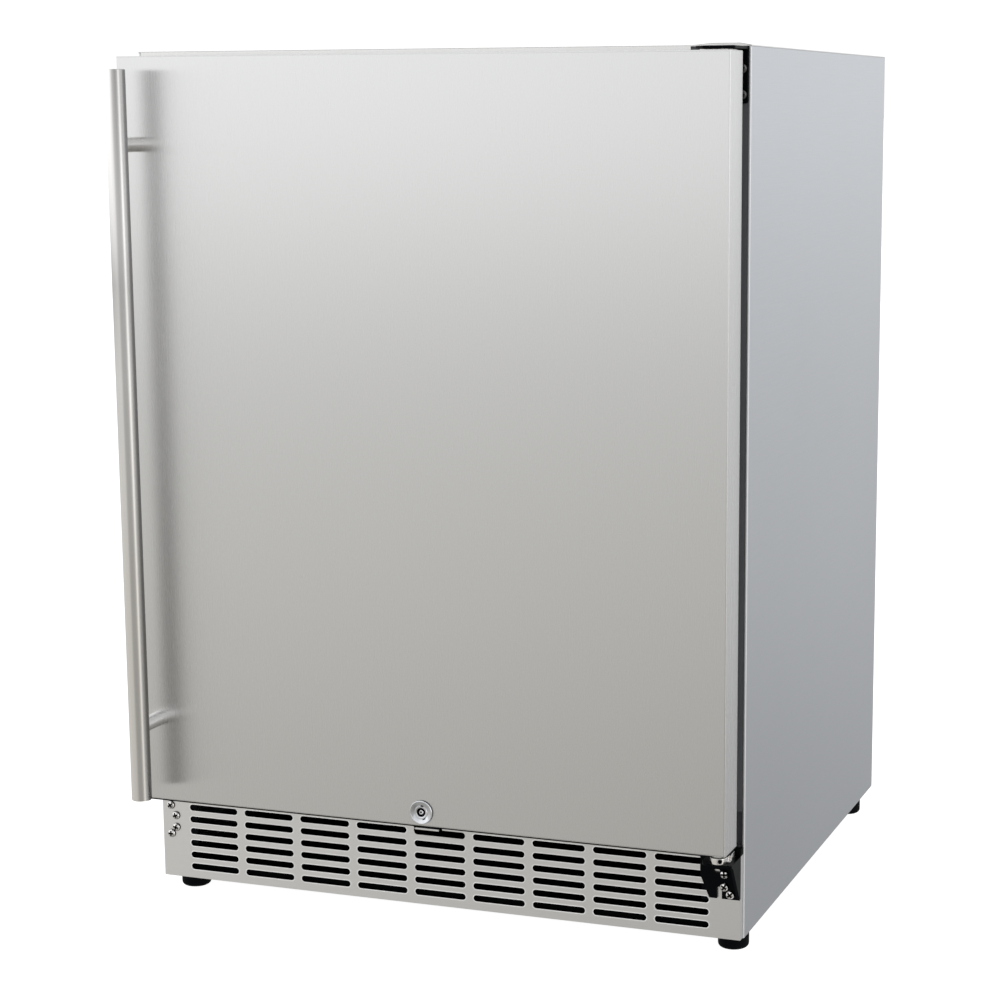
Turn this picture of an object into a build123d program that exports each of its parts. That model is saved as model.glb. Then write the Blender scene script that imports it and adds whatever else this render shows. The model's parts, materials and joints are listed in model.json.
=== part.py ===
from build123d import *
import os
from math import cos, radians, sin

# Undercounter refrigerator: a 600 mm class built-in cabinet with one right-hinged door.
# Millimetres. X is the width (+X is the hinge side), +Y runs from the door to the back, +Z is up.
# The origin is at the centre of the bounding box's footprint, on the floor under the feet.

os.makedirs("parts", exist_ok=True)

# ---- cabinet ---------------------------------------------------------------------------------
cabinet_width = 595.0
cabinet_height = 800.0          # side panel, with the top sheet
cabinet_depth = 524.0           # front hem to back panel
foot_height = 18.0
side_sheet = 1.0
top_sheet = 1.0
back_sheet = 1.0
hem_thickness = 2.5             # folded front edge of a side panel
hem_depth = 10.0
hem_radius = 1.1
rear_flange = 12.0              # inward fold at the back of a side panel
lip_height = 14.0               # down-turned front edge of the top
bulge_height = 1.8              # the top bows up over the upper hinge
bulge_length = 80.0
bulge_run = 19.0                # width of the bulge's left slope
bulge_fall = 10.5               # width of the bulge's right slope
bulge_width = 54.5
frame_sheet = 1.0               # face frame round the opening
frame_rise = 34.0               # face frame's bottom above the kick grille
frame_corner_radius = 8.0

# ---- insulated cavity ------------------------------------------------------------------------
side_insulation = 35.0
ceiling_insulation = 40.0
floor_insulation = 27.0
back_insulation = 45.0
bay_insulation = 30.0
liner_wall = 1.5
liner_radius = 9.0
liner_foot_radius = 3.0         # where the liner's floor meets the step over the machine bay
bay_sheet = 1.0                 # sheet that roofs the machine bay
bay_height = 250.0              # machine bay at the back, from the cabinet's bottom
bay_depth = 189.0               # tall rear part of the machine bay, from the back panel

# ---- base and kick grille --------------------------------------------------------------------
base_sheet = 1.2
base_flange = 12.0
rail_sheet = 1.0
rail_setback = 8.0              # front rail's web behind the cabinet front
rail_foot = 17.0
kick_sheet = 1.0
kick_side_gap = 1.5             # kick grille inside the cabinet's width, each side
kick_height = 86.0
kick_projection = 7.5           # kick grille's face in front of the cabinet front
slot_length = 52.0
slot_height = 6.2
slot_pitch_x = 60.0
slot_pitch_z = 12.0
slot_columns = 9
slot_rows = 6
top_slot_drop = 14.2            # top row's centre below the grille's top edge
strike_notch_left = 26.4        # cut in the grille's top web, from the middle
strike_notch_right = 2.7

# ---- feet ------------------------------------------------------------------------------------
foot_diameter = 29.0
foot_edge_radius = 4.0
foot_stud_diameter = 10.0
foot_stud_length = 42.0
foot_nut_height = 10.0
foot_nut_diameter = 18.0
cover_screw_xs = (-200.0, 0.0, 200.0)
cover_screw_inset = 6.0         # rear cover's screws inside its top and bottom edges
foot_inset_x = 17.5             # foot centre inside the side panel
foot_inset_front = 26.5
foot_inset_back = 46.0
foot_gap = 0.3

# ---- door ------------------------------------------------------------------------------------
door_side_gap = 4.5             # door inside the cabinet's width, each side
door_bottom_gap = 5.0           # door's bottom above the kick grille
door_thickness = 37.0
door_top_gap = 5.0              # door's top below the cabinet's top
door_sheet = 0.8
door_edge_radius = 1.6
door_flange = 12.0              # inward fold at the door's back, sides and top
door_bottom_flange = 36.0       # deeper at the bottom, where the lock goes through
seal_gap = 12.0                 # door's back to cabinet front
seal_clearance = 0.3
gasket_width = 12.0
gasket_neck = 6.0
gasket_neck_height = 5.0
gasket_inset_side = 13.0        # gasket's outer edge inside the door's edge
gasket_inset_top = 14.0
gasket_inset_bottom = 32.0
door_liner_sheet = 1.5
door_liner_lap = 6.0
dike_width = 28.0
dike_height = 32.0
dike_gap = 10.0                 # dike's outer face to the cabinet's cavity wall
dike_gap_z = 12.0
dike_draft = 3.0
bin_depth = 86.0
bin_height = 62.0
bin_wall = 2.0
bin_side_gap = 0.5
bin_lug = 6.0
bin_rises = (36.5, 211.5, 411.5)  # bins' floors above the dike's lower edge

# ---- handle ----------------------------------------------------------------------------------
handle_diameter = 19.0
handle_length = 683.0
handle_standoff = 32.5          # bar's axis in front of the door's face
handle_inset = 17.5             # bar's axis inside the door's left edge
handle_bottom_gap = 9.0         # bar's lower end above the door's bottom
handle_end_chamfer = 0.8
post_diameter = 14.0
post_inset = 79.5               # post's axis inside the door's top and bottom edges
post_screw_diameter = 6.0
post_screw_length = 14.0
post_screw_head = 10.0
post_screw_head_height = 3.5

# ---- hinges ----------------------------------------------------------------------------------
pivot_inset = 11.0              # hinge axis inside the door's right edge
pin_diameter = 8.0
pin_reach = 24.0                # length of pin inside the door
bush_diameter = 12.0
running_clearance = 0.05        # radial, pin in bush and shaft in hub
free_gap = 0.3                  # between pieces that move past each other
bracket_sheet = 2.5
lower_bracket_width = 37.7
lower_bracket_height = 41.0
lower_bracket_drop = 6.0        # shelf's top under the kick grille's top edge
lower_bracket_reach = 27.5      # shelf of the bracket, in front of its flange
lower_bracket_taper_x = 8.7
lower_bracket_taper_z = 21.0
lower_bracket_notch = 4.8
lower_bracket_notch_height = 7.5
bracket_window_width = 6.0      # small slot in the flange, under the shelf
bracket_window_height = 3.0
bracket_window_drop = 15.0
lower_bracket_shelf_width = 30.0
shelf_nose_radius = 9.0
gusset_toe = 5.0
pivot_boss_diameter = 16.0
pivot_boss_height = 6.0
stop_lug_width = 3.5
stop_lug_depth = 11.0
stop_lug_height = 7.2
stop_base = 2.0
upper_bracket_width = 37.0
upper_bracket_leg_width = 14.0
upper_bracket_leg = 48.2        # height of the leg screwed to the face frame
upper_bracket_front = 6.0       # its nose behind the door's face
lower_plate_thickness = 3.0
upper_plate_thickness = 0.9
door_plate_length = 53.0
upper_door_plate_length = 28.5
door_plate_setback = 10.0
door_plate_depth = 25.0
screw_diameter = 4.0
screw_head_diameter = 8.4
screw_head_height = 2.4
screw_grip = 9.0                # shank length behind the head
screw_hole_gap = 0.1
inner_screw_inset = 14.6        # hinge screws inside the kick grille's edge
outer_screw_inset = 9.1
inner_screw_drops = (29.6, 17.6)  # and below the lower bracket's top
outer_screw_drops = (36.4, 7.5)
upper_screw_inset = 7.5         # upper hinge screws inside the cabinet's side
upper_screw_drops = (42.0, 20.0)  # and below its top
backing_sheet = 2.0
backing_height = 45.0

# ---- lock ------------------------------------------------------------------------------------
lock_height = 13.7              # lock's axis above the door's bottom edge
lock_bezel_diameter = 23.0
lock_bezel_height = 2.2
lock_barrel_diameter = 18.6
lock_plug_diameter = 13.0
lock_plug_recess = 0.7
lock_nut_width = 24.0
lock_nut_height = 4.0
keyway_outer = 9.0
keyway_inner = 4.4
keyway_depth = 5.0
cam_plane = 46.0                # cam's front face behind the door's face
cam_thickness = 2.3
cam_length = 33.2
cam_width = 10.0
cam_hub_diameter = 15.0
strike_thickness = 2.0
strike_width = 2.6
strike_drop = 1.0               # strike's top under the top of the slot row
strike_tab_width = 6.8

# ---- shelves ---------------------------------------------------------------------------------
rail_depth = 7.0                # shelf rail's reach from the wall
rail_height = 5.0
rail_rise = 63.5                # lowest rail's top above the cavity floor
rail_pitch = 100.0
rail_pairs = 5
rails_of_shelves = {"wire_shelf_lower": 1, "wire_shelf_upper": 3}
shelf_wall_gap = 2.5            # shelf's side rod to the cavity wall
shelf_setback = 140.0           # shelf's front behind the door's face
shelf_rod_diameter = 6.0
shelf_wire_diameter = 3.2
shelf_wires = 15
shelf_wire_sink = 0.5           # welded depth of a wire in the rod under it
shelf_corner_radius = 16.0

# ---- thermostat and lamp ---------------------------------------------------------------------
control_box_width = 140.0
control_box_depth = 120.0
control_box_height = 38.0
control_box_inset = 24.0        # from the cavity's right wall
control_box_setback = 100.0     # from the cabinet's front
control_box_wall = 2.0
control_box_radius = 8.0
knob_diameter = 34.0
knob_height = 15.0
knob_skirt = 3.0
knob_grip_diameter = 24.0
knob_grip_lobes = 12
knob_spindle = 6.0
lens_width = 70.0
lens_depth = 60.0
lens_drop = 5.0
lens_wall = 1.5

# ---- evaporator ------------------------------------------------------------------------------
cover_width = 300.0
cover_height = 205.0
cover_depth = 57.0
cover_wall = 2.0
cover_top_gap = 12.0
cover_edge_radius = 8.0
cover_slots = 8
cover_slot_height = 5.0
cover_slot_pitch = 11.0
cover_slot_length = 92.0
cover_intake_slots = 9
evaporator_fan_x = 72.0
evaporator_fan_diameter = 84.0
evaporator_coil_x = -70.0
evaporator_coil_width = 120.0
evaporator_coil_height = 170.0
evaporator_coil_depth = 38.0
fan_thickness = 17.0
fan_blades = 5
fan_blade_wall = 1.6
fan_blade_pitch = 35.0
fan_hub_share = 0.3             # hub's diameter as a share of the fan's
shaft_diameter = 5.0
motor_diameter = 40.0
motor_foot = 3.0

# ---- machine bay -----------------------------------------------------------------------------
compressor_diameter = 118.0
compressor_height = 158.0
compressor_x = -140.0
compressor_setback = 92.0       # compressor's axis in front of the back panel
compressor_dome = 26.0
compressor_seam = 4.0
compressor_foot_width = 170.0
compressor_foot_depth = 112.0
compressor_foot_sheet = 3.0
grommet_height = 12.0
grommet_diameter = 24.0
terminal_box_width = 30.0
terminal_box_depth = 44.0
terminal_box_height = 56.0
tube_diameter = 8.0
tube_bend = 16.0
drier_diameter = 20.0
drier_length = 90.0
condenser_x = 135.0
condenser_size = 160.0
condenser_depth = 40.0
condenser_gap = 10.0            # condenser behind the front wall of the tall bay
condenser_fan_diameter = 140.0
shroud_wall = 1.5
shroud_depth = 24.0
shroud_bar = 44.0               # bar across the shroud that carries the motor
coil_fins = 24
fin_wall = 1.0
coil_web = 2.0
gland_inset = 70.5              # gland inside the back panel's left edge
gland_rise = 40.0               # and above the cabinet's bottom
gland_bore = 9.0
gland_flange = 20.0

# ---- places worked out from the sizes --------------------------------------------------------
handle_projection = handle_standoff + handle_diameter / 2
overall_depth = handle_projection + door_thickness + seal_gap + cabinet_depth
half_width = cabinet_width / 2
door_front_y = handle_projection - overall_depth / 2
door_back_y = door_front_y + door_thickness
cabinet_front_y = door_back_y + seal_gap
cabinet_back_y = cabinet_front_y + cabinet_depth
kick_front_y = cabinet_front_y - kick_projection
kick_back_y = kick_front_y + kick_sheet
frame_front_y = cabinet_front_y + top_sheet
frame_back_y = frame_front_y + frame_sheet
rail_front_y = cabinet_front_y + rail_setback
rail_back_y = rail_front_y + rail_sheet
bay_front_y = cabinet_back_y - bay_depth
base_back_y = cabinet_back_y - back_sheet

kick_half_width = half_width - kick_side_gap

cabinet_bottom_z = foot_height
cabinet_top_z = foot_height + cabinet_height
base_top_z = cabinet_bottom_z + base_sheet
top_under_z = cabinet_top_z - top_sheet
kick_top_z = cabinet_bottom_z + kick_height
frame_bottom_z = kick_top_z + frame_rise
bay_top_z = cabinet_bottom_z + bay_height
door_top_z = cabinet_top_z - door_top_gap
door_bottom_z = kick_top_z + door_bottom_gap
door_half_width = half_width - door_side_gap

hem_inner_x = half_width - hem_thickness
panel_inner_x = half_width - side_sheet
back_half_width = half_width - rear_flange
cavity_half_width = panel_inner_x - side_insulation - liner_wall
cavity_floor_z = frame_bottom_z + floor_insulation + liner_wall
cavity_ceiling_z = top_under_z - ceiling_insulation - liner_wall
cavity_back_y = cabinet_back_y - back_sheet - back_insulation - liner_wall
step_front_y = bay_front_y - bay_sheet - bay_insulation - liner_wall
step_top_z = bay_top_z + bay_sheet + bay_insulation + liner_wall

box_front_y = cabinet_front_y + control_box_setback

pivot_x = door_half_width - pivot_inset
pivot_y = door_front_y + door_thickness / 2
pin_radius = pin_diameter / 2
bush_radius = bush_diameter / 2
bracket_top_z = kick_top_z - lower_bracket_drop
lock_z = door_bottom_z + lock_height
gland_x = gland_inset - back_half_width
gland_z = cabinet_bottom_z + gland_rise

inner_screw_x = kick_half_width - inner_screw_inset
outer_screw_x = kick_half_width - outer_screw_inset
upper_screw_x = half_width - upper_screw_inset
inner_screws = [(inner_screw_x, bracket_top_z - drop) for drop in inner_screw_drops]
outer_screws = [(outer_screw_x, bracket_top_z - drop) for drop in outer_screw_drops]
upper_screws = [(upper_screw_x, cabinet_top_z - drop) for drop in upper_screw_drops]
hinge_side_screws = inner_screws + outer_screws[:1]
plug_side_screws = [(-x, z) for x, z in inner_screws + outer_screws]


def front_plane(y):
    """Sketch plane facing the front at depth y: its x is +X and its y is +Z."""
    return Plane(origin=(0, y, 0), x_dir=(1, 0, 0), z_dir=(0, -1, 0))


def rect_between(x0, x1, y0, y1, mode=Mode.ADD):
    """Rectangle in the active sketch between two corners."""
    with Locations(((x0 + x1) / 2, (y0 + y1) / 2)):
        Rectangle(x1 - x0, y1 - y0, mode=mode)


def box_between(x0, x1, y0, y1, z0, z1, mode=Mode.ADD):
    """Box in the active part between two corners."""
    with Locations(((x0 + x1) / 2, (y0 + y1) / 2, (z0 + z1) / 2)):
        Box(x1 - x0, y1 - y0, z1 - z0, mode=mode)


def rod_y(x, y0, y1, z, radius, mode=Mode.ADD):
    """Cylinder along Y in the active part."""
    with Locations(Location((x, (y0 + y1) / 2, z), (90, 0, 0))):
        Cylinder(radius, y1 - y0, mode=mode)


def rod_z(x, y, z0, z1, radius, mode=Mode.ADD):
    """Upright cylinder in the active part."""
    with Locations((x, y, (z0 + z1) / 2)):
        Cylinder(radius, z1 - z0, mode=mode)


def save(piece, name):
    """Labels a finished piece and writes its STEP file."""
    piece.part.label = name
    export_step(piece.part, f"parts/{name}.step")


# ---- outer shell -----------------------------------------------------------------------------
with BuildPart() as side_panel_right:
    with BuildSketch(Plane.XY.offset(cabinet_bottom_z)):
        rect_between(panel_inner_x, half_width, cabinet_front_y, cabinet_back_y)
        rect_between(hem_inner_x, half_width, cabinet_front_y, cabinet_front_y + hem_depth)
        rect_between(back_half_width, half_width, cabinet_back_y - side_sheet, cabinet_back_y)
    extrude(amount=cabinet_height - top_sheet)
    fillet(side_panel_right.edges().filter_by(Axis.Z).group_by(Axis.Y)[0], hem_radius)
save(side_panel_right, "side_panel_right")

with BuildPart() as side_panel_left:
    add(side_panel_right.part.mirror(Plane.YZ))
save(side_panel_left, "side_panel_left")


def bulge_outline(base_z, height):
    """Outline of the top's bow over the hinge, in the active front sketch."""
    start_x = half_width - bulge_width
    Polygon(
        (start_x, base_z),
        (start_x + bulge_run, base_z + height),
        (half_width - bulge_fall, base_z + height),
        (half_width, base_z),
        align=None,
    )


with BuildPart() as top_panel:
    box_between(-half_width, half_width, cabinet_front_y, cabinet_back_y, top_under_z, cabinet_top_z)
    box_between(-hem_inner_x, half_width - bulge_width, cabinet_front_y, frame_front_y,
                cabinet_top_z - lip_height, top_under_z)
    for drop, start_y, mode in ((0, cabinet_front_y, Mode.ADD), (top_sheet, frame_front_y, Mode.SUBTRACT)):
        with BuildSketch(front_plane(start_y)):
            bulge_outline(cabinet_top_z - drop, bulge_height)
        with BuildSketch(front_plane(cabinet_front_y + bulge_length)):
            bulge_outline(cabinet_top_z - drop, bulge_height / 20)
        loft(mode=mode)
save(top_panel, "top_panel")

with BuildPart() as back_panel:
    box_between(-back_half_width, back_half_width, cabinet_back_y - back_sheet, cabinet_back_y,
                bay_top_z + bay_sheet, top_under_z)
save(back_panel, "back_panel")

# The face frame lies behind the top's lip and between the two hems.
with BuildPart() as front_frame:
    with BuildSketch(front_plane(frame_front_y)):
        rect_between(-hem_inner_x, hem_inner_x, frame_bottom_z, top_under_z)
        with Locations((0, (cavity_floor_z + cavity_ceiling_z) / 2)):
            RectangleRounded(2 * cavity_half_width, cavity_ceiling_z - cavity_floor_z,
                             frame_corner_radius, mode=Mode.SUBTRACT)
        with Locations(*upper_screws):
            Circle(screw_diameter / 2 + screw_hole_gap, mode=Mode.SUBTRACT)
    extrude(amount=-frame_sheet)
save(front_frame, "front_frame")


# ---- insulated cavity ------------------------------------------------------------------------
def cavity_block(grow, open_y):
    """The stepped cavity as a solid, grown outwards on every side but the front."""
    with BuildPart() as block:
        with BuildSketch(Plane.YZ):
            with BuildLine():
                walls = FilletPolyline(
                    (open_y, cavity_floor_z - grow),
                    (step_front_y + grow, cavity_floor_z - grow),
                    (step_front_y + grow, step_top_z - grow),
                    (cavity_back_y + grow, step_top_z - grow),
                    (cavity_back_y + grow, cavity_ceiling_z + grow),
                    (open_y, cavity_ceiling_z + grow),
                    radius=[liner_foot_radius + grow, liner_radius - grow,
                            liner_radius + grow, liner_radius + grow],
                )
                Line(walls @ 1, walls @ 0)
            make_face()
        extrude(amount=cavity_half_width + grow, both=True)
    return block.part


with BuildPart() as inner_liner:
    add(cavity_block(liner_wall, frame_back_y))
    add(cavity_block(0, frame_back_y - liner_wall), mode=Mode.SUBTRACT)
save(inner_liner, "inner_liner")

with BuildPart() as foam_insulation:
    with BuildSketch(Plane.XY.offset(frame_bottom_z)):
        rect_between(-hem_inner_x, hem_inner_x, frame_back_y, cabinet_front_y + hem_depth)
        rect_between(-panel_inner_x, panel_inner_x, cabinet_front_y + hem_depth, cabinet_back_y - back_sheet)
    extrude(amount=top_under_z - frame_bottom_z)
    box_between(-half_width, half_width, bay_front_y - bay_sheet, cabinet_back_y,
                cabinet_bottom_z, bay_top_z + bay_sheet, mode=Mode.SUBTRACT)
    add(cavity_block(liner_wall, frame_back_y - liner_wall), mode=Mode.SUBTRACT)
    for screw_x, screw_z in upper_screws:
        rod_y(screw_x, frame_back_y, frame_back_y + screw_grip, screw_z,
              screw_diameter / 2 + screw_hole_gap, mode=Mode.SUBTRACT)
save(foam_insulation, "foam_insulation")

with BuildPart() as machine_bay_liner:
    with BuildSketch(Plane.YZ):
        with BuildLine():
            Polyline(
                (rail_back_y, frame_bottom_z - bay_sheet),
                (bay_front_y, frame_bottom_z - bay_sheet),
                (bay_front_y, bay_top_z),
                (base_back_y - bay_sheet, bay_top_z),
                (base_back_y - bay_sheet, bay_top_z - base_flange),
                (base_back_y, bay_top_z - base_flange),
                (base_back_y, bay_top_z + bay_sheet),
                (bay_front_y - bay_sheet, bay_top_z + bay_sheet),
                (bay_front_y - bay_sheet, frame_bottom_z),
                (rail_back_y, frame_bottom_z),
                close=True,
            )
        make_face()
    extrude(amount=hem_inner_x, both=True)
save(machine_bay_liner, "machine_bay_liner")

# ---- base ------------------------------------------------------------------------------------
with BuildPart() as base_front_rail:
    with BuildSketch(Plane.YZ):
        rect_between(rail_front_y, rail_back_y, kick_top_z, frame_bottom_z)
        rect_between(frame_front_y, rail_back_y, frame_bottom_z - rail_sheet, frame_bottom_z)
        rect_between(rail_front_y, rail_back_y + rail_foot, kick_top_z, kick_top_z + rail_sheet)
    extrude(amount=hem_inner_x, both=True)
save(base_front_rail, "base_front_rail")

foot_x = half_width - foot_inset_x
foot_front_y = cabinet_front_y + foot_inset_front
foot_back_y = cabinet_back_y - foot_inset_back
foot_places = {
    "foot_front_left": (-foot_x, foot_front_y),
    "foot_front_right": (foot_x, foot_front_y),
    "foot_rear_left": (-foot_x, foot_back_y),
    "foot_rear_right": (foot_x, foot_back_y),
}
stud_bore = foot_stud_diameter / 2 + running_clearance

with BuildPart() as base_pan:
    with BuildSketch(Plane.YZ):
        rect_between(frame_front_y, base_back_y, cabinet_bottom_z, base_top_z)
        rect_between(frame_front_y, frame_front_y + base_sheet, cabinet_bottom_z,
                     cabinet_bottom_z + base_flange)
        rect_between(base_back_y - base_sheet, base_back_y, cabinet_bottom_z,
                     cabinet_bottom_z + base_flange)
    extrude(amount=hem_inner_x, both=True)
    for x, y in foot_places.values():
        nut_radius = foot_nut_diameter / 2
        rod_z(x, y, base_top_z, base_top_z + foot_nut_height, nut_radius)
        rod_z(x, y, cabinet_bottom_z, base_top_z + foot_nut_height, stud_bore, mode=Mode.SUBTRACT)
save(base_pan, "base_pan")

for foot_name, (x, y) in foot_places.items():
    pad_radius = foot_diameter / 2
    stud_radius = foot_stud_diameter / 2
    pad_top_z = foot_height - foot_gap
    with BuildPart() as foot:
        with BuildSketch(Plane.XZ):
            with BuildLine():
                Line((0, 0), (pad_radius - foot_edge_radius, 0))
                JernArc((pad_radius - foot_edge_radius, 0), (1, 0), foot_edge_radius, 90)
                Polyline(
                    (pad_radius, foot_edge_radius),
                    (pad_radius, pad_top_z),
                    (stud_radius, pad_top_z),
                    (stud_radius, pad_top_z + foot_stud_length),
                    (0, pad_top_z + foot_stud_length),
                    (0, 0),
                )
            make_face()
        revolve(axis=Axis.Z)
    foot.part = foot.part.moved(Location((x, y, 0)))
    foot.part.label = foot_name
    export_step(foot.part, f"parts/{foot_name}.step")

# ---- kick grille -----------------------------------------------------------------------------
kick_flange_half = hem_inner_x - free_gap
top_slot_z = kick_top_z - top_slot_drop
slot_grid_z = top_slot_z - (slot_rows - 1) * slot_pitch_z / 2
slot_radius = slot_height / 2

with BuildPart() as kick_grille:
    with BuildSketch(front_plane(kick_front_y)):
        rect_between(-kick_half_width, kick_half_width, cabinet_bottom_z, kick_top_z)
        with Locations((0, slot_grid_z)):
            with GridLocations(slot_pitch_x, slot_pitch_z, slot_columns, slot_rows):
                SlotOverall(slot_length, slot_height, mode=Mode.SUBTRACT)
        with Locations(*hinge_side_screws, *plug_side_screws):
            Circle(screw_diameter / 2 + screw_hole_gap, mode=Mode.SUBTRACT)
        rect_between(-strike_notch_left, strike_notch_right, top_slot_z, kick_top_z, mode=Mode.SUBTRACT)
    extrude(amount=-kick_sheet)
    for side in (-1, 1):
        inner_x, outer_x = sorted((side * (kick_half_width - kick_sheet), side * kick_half_width))
        box_between(inner_x, outer_x, kick_back_y, cabinet_front_y - free_gap, cabinet_bottom_z, kick_top_z)
    box_between(-kick_flange_half, kick_flange_half, kick_back_y, frame_front_y,
                cabinet_bottom_z, cabinet_bottom_z + kick_sheet)
    cam_way = cam_length + free_gap
    for start_x, end_x in ((-kick_flange_half, -cam_way), (cam_width, kick_flange_half)):
        box_between(start_x, end_x, kick_back_y, rail_back_y + rail_foot, kick_top_z - kick_sheet, kick_top_z)
save(kick_grille, "kick_grille")

backing_front_y = kick_back_y
backing_width = hem_inner_x - free_gap - (kick_half_width - lower_bracket_width)
backing_low_z = outer_screws[0][1] - screw_head_diameter

with BuildPart() as hinge_backing_plates:
    for side, screws in ((1, hinge_side_screws), (-1, plug_side_screws)):
        outer_x = side * (kick_half_width - kick_sheet)
        with BuildSketch(front_plane(backing_front_y)):
            rect_between(*sorted((outer_x, outer_x - side * backing_width)),
                         backing_low_z, backing_low_z + backing_height)
            with Locations(*screws):
                Circle(screw_diameter / 2 + screw_hole_gap, mode=Mode.SUBTRACT)
        extrude(amount=-backing_sheet)
        box_between(*sorted((outer_x, outer_x - side * backing_sheet)),
                    backing_front_y, rail_back_y, backing_low_z, backing_low_z + backing_height)
save(hinge_backing_plates, "hinge_backing_plates")

# The strike is a finger that stands in the notch of the grille. The lock's cam drops behind it.
strike_top_z = top_slot_z + slot_radius - strike_drop + strike_thickness / 2
finger_front_y = door_front_y + cam_plane - free_gap - strike_width
column_web = slot_pitch_x - slot_length
tab_right_x = -strike_notch_left - (column_web - strike_tab_width) / 2

with BuildPart() as strike_plate:
    box_between(tab_right_x - strike_tab_width, tab_right_x, kick_back_y, finger_front_y + strike_width,
                top_slot_z - slot_pitch_z, kick_top_z - kick_sheet)
    box_between(tab_right_x, strike_notch_right - column_web / 2, max(finger_front_y, kick_back_y),
                finger_front_y + strike_width, strike_top_z - strike_thickness, strike_top_z)
save(strike_plate, "strike_plate")

# ---- lower hinge -----------------------------------------------------------------------------
bracket_left_x = kick_half_width - lower_bracket_width
bracket_right_x = kick_half_width
bracket_low_z = bracket_top_z - lower_bracket_height
shelf_low_z = bracket_top_z - bracket_sheet
bracket_front_y = kick_front_y - bracket_sheet
shelf_front_y = bracket_front_y - lower_bracket_reach
notch_x = inner_screw_x - lower_bracket_notch

with BuildPart() as lower_hinge_bracket:
    with BuildSketch(front_plane(kick_front_y)) as flange_outline:
        with BuildLine():
            Polyline(
                (bracket_left_x, bracket_top_z),
                (bracket_left_x, bracket_low_z + lower_bracket_taper_z),
                (bracket_left_x + lower_bracket_taper_x, bracket_low_z),
                (bracket_right_x, bracket_low_z),
                (bracket_right_x, bracket_top_z),
                close=True,
            )
        make_face()
        fillet(flange_outline.vertices().group_by(Axis.Y)[0], lower_bracket_notch / 4)
        with Locations((notch_x, bracket_low_z + lower_bracket_notch_height / 2)):
            SlotOverall(lower_bracket_notch_height * 2, lower_bracket_notch, rotation=90, mode=Mode.SUBTRACT)
        with Locations((notch_x - lower_bracket_notch / 2, bracket_top_z - bracket_window_drop)):
            SlotOverall(bracket_window_width, bracket_window_height, mode=Mode.SUBTRACT)
        with Locations(*hinge_side_screws):
            Circle(screw_diameter / 2 + screw_hole_gap, mode=Mode.SUBTRACT)
    extrude(amount=bracket_sheet)
    with BuildSketch(Plane.XY.offset(shelf_low_z)) as shelf_outline:
        rect_between(bracket_right_x - lower_bracket_shelf_width, bracket_right_x,
                     shelf_front_y, bracket_front_y)
        fillet(shelf_outline.vertices().group_by(Axis.Y)[0].sort_by(Axis.X)[0], shelf_nose_radius)
        with Locations((pivot_x, pivot_y)):
            Circle(pin_radius, mode=Mode.SUBTRACT)
    extrude(amount=bracket_sheet)
    with BuildSketch(Plane.YZ.offset(bracket_right_x - bracket_sheet)):
        with BuildLine():
            Polyline(
                (shelf_front_y, bracket_top_z),
                (shelf_front_y + gusset_toe, bracket_top_z - gusset_toe),
                (bracket_front_y, bracket_low_z),
                (bracket_front_y, bracket_top_z),
                close=True,
            )
        make_face()
    extrude(amount=bracket_sheet)
save(lower_hinge_bracket, "lower_hinge_bracket")

boss_radius = pivot_boss_diameter / 2
boss_top_z = bracket_top_z + pivot_boss_height
lug_right_x = bracket_right_x - stop_lug_width

with BuildPart() as lower_hinge_pin:
    with BuildSketch(Plane.XZ):
        with BuildLine():
            Polyline(
                (0, shelf_low_z),
                (pin_radius, shelf_low_z),
                (pin_radius, bracket_top_z),
                (boss_radius, bracket_top_z),
                (boss_radius, boss_top_z),
                (pin_radius, boss_top_z),
                (pin_radius, door_bottom_z + pin_reach - 1),
                (pin_radius - 1, door_bottom_z + pin_reach),
                (0, door_bottom_z + pin_reach),
                close=True,
            )
        make_face()
    revolve(axis=Axis.Z)
lower_hinge_pin.part = lower_hinge_pin.part.moved(Location((pivot_x, pivot_y, 0)))
lug_front_y = pivot_y + boss_radius - stop_lug_width

with lower_hinge_pin:
    fillet(lower_hinge_pin.edges().filter_by(GeomType.CIRCLE).filter_by(
        lambda e: abs(e.radius - boss_radius) < 0.01).sort_by(Axis.Z)[-1], 1)
    with BuildSketch(Plane.XY.offset(bracket_top_z)):
        rect_between(pivot_x, lug_right_x, pivot_y, lug_front_y + stop_lug_depth)
        with Locations((pivot_x, pivot_y)):
            Circle(pin_radius, mode=Mode.SUBTRACT)
    extrude(amount=stop_base)
    with BuildSketch(Plane.YZ.offset(lug_right_x - stop_lug_width)):
        with Locations((lug_front_y + stop_lug_depth / 2, bracket_top_z + stop_lug_height / 2)):
            RectangleRounded(stop_lug_depth, stop_lug_height, stop_lug_width / 2)
    extrude(amount=stop_lug_width)
    screw_way = (cos(radians(-67)), sin(radians(-67)), 0)
    screw_mouth = (pivot_x + boss_radius * screw_way[0], pivot_y + boss_radius * screw_way[1],
                   bracket_top_z + pivot_boss_height / 2)
    with BuildSketch(Plane(origin=screw_mouth, z_dir=screw_way)):
        Circle(pin_radius / 2)
    extrude(amount=-pin_radius / 2, both=True, mode=Mode.SUBTRACT)
save(lower_hinge_pin, "lower_hinge_pin")

# ---- upper hinge -----------------------------------------------------------------------------
upper_bracket_z = door_top_z + upper_plate_thickness + free_gap
upper_bracket_top_z = upper_bracket_z + bracket_sheet
upper_bracket_right_x = hem_inner_x - free_gap
leg_low_z = upper_bracket_top_z - upper_bracket_leg
upper_nose_y = door_front_y + upper_bracket_front

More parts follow.
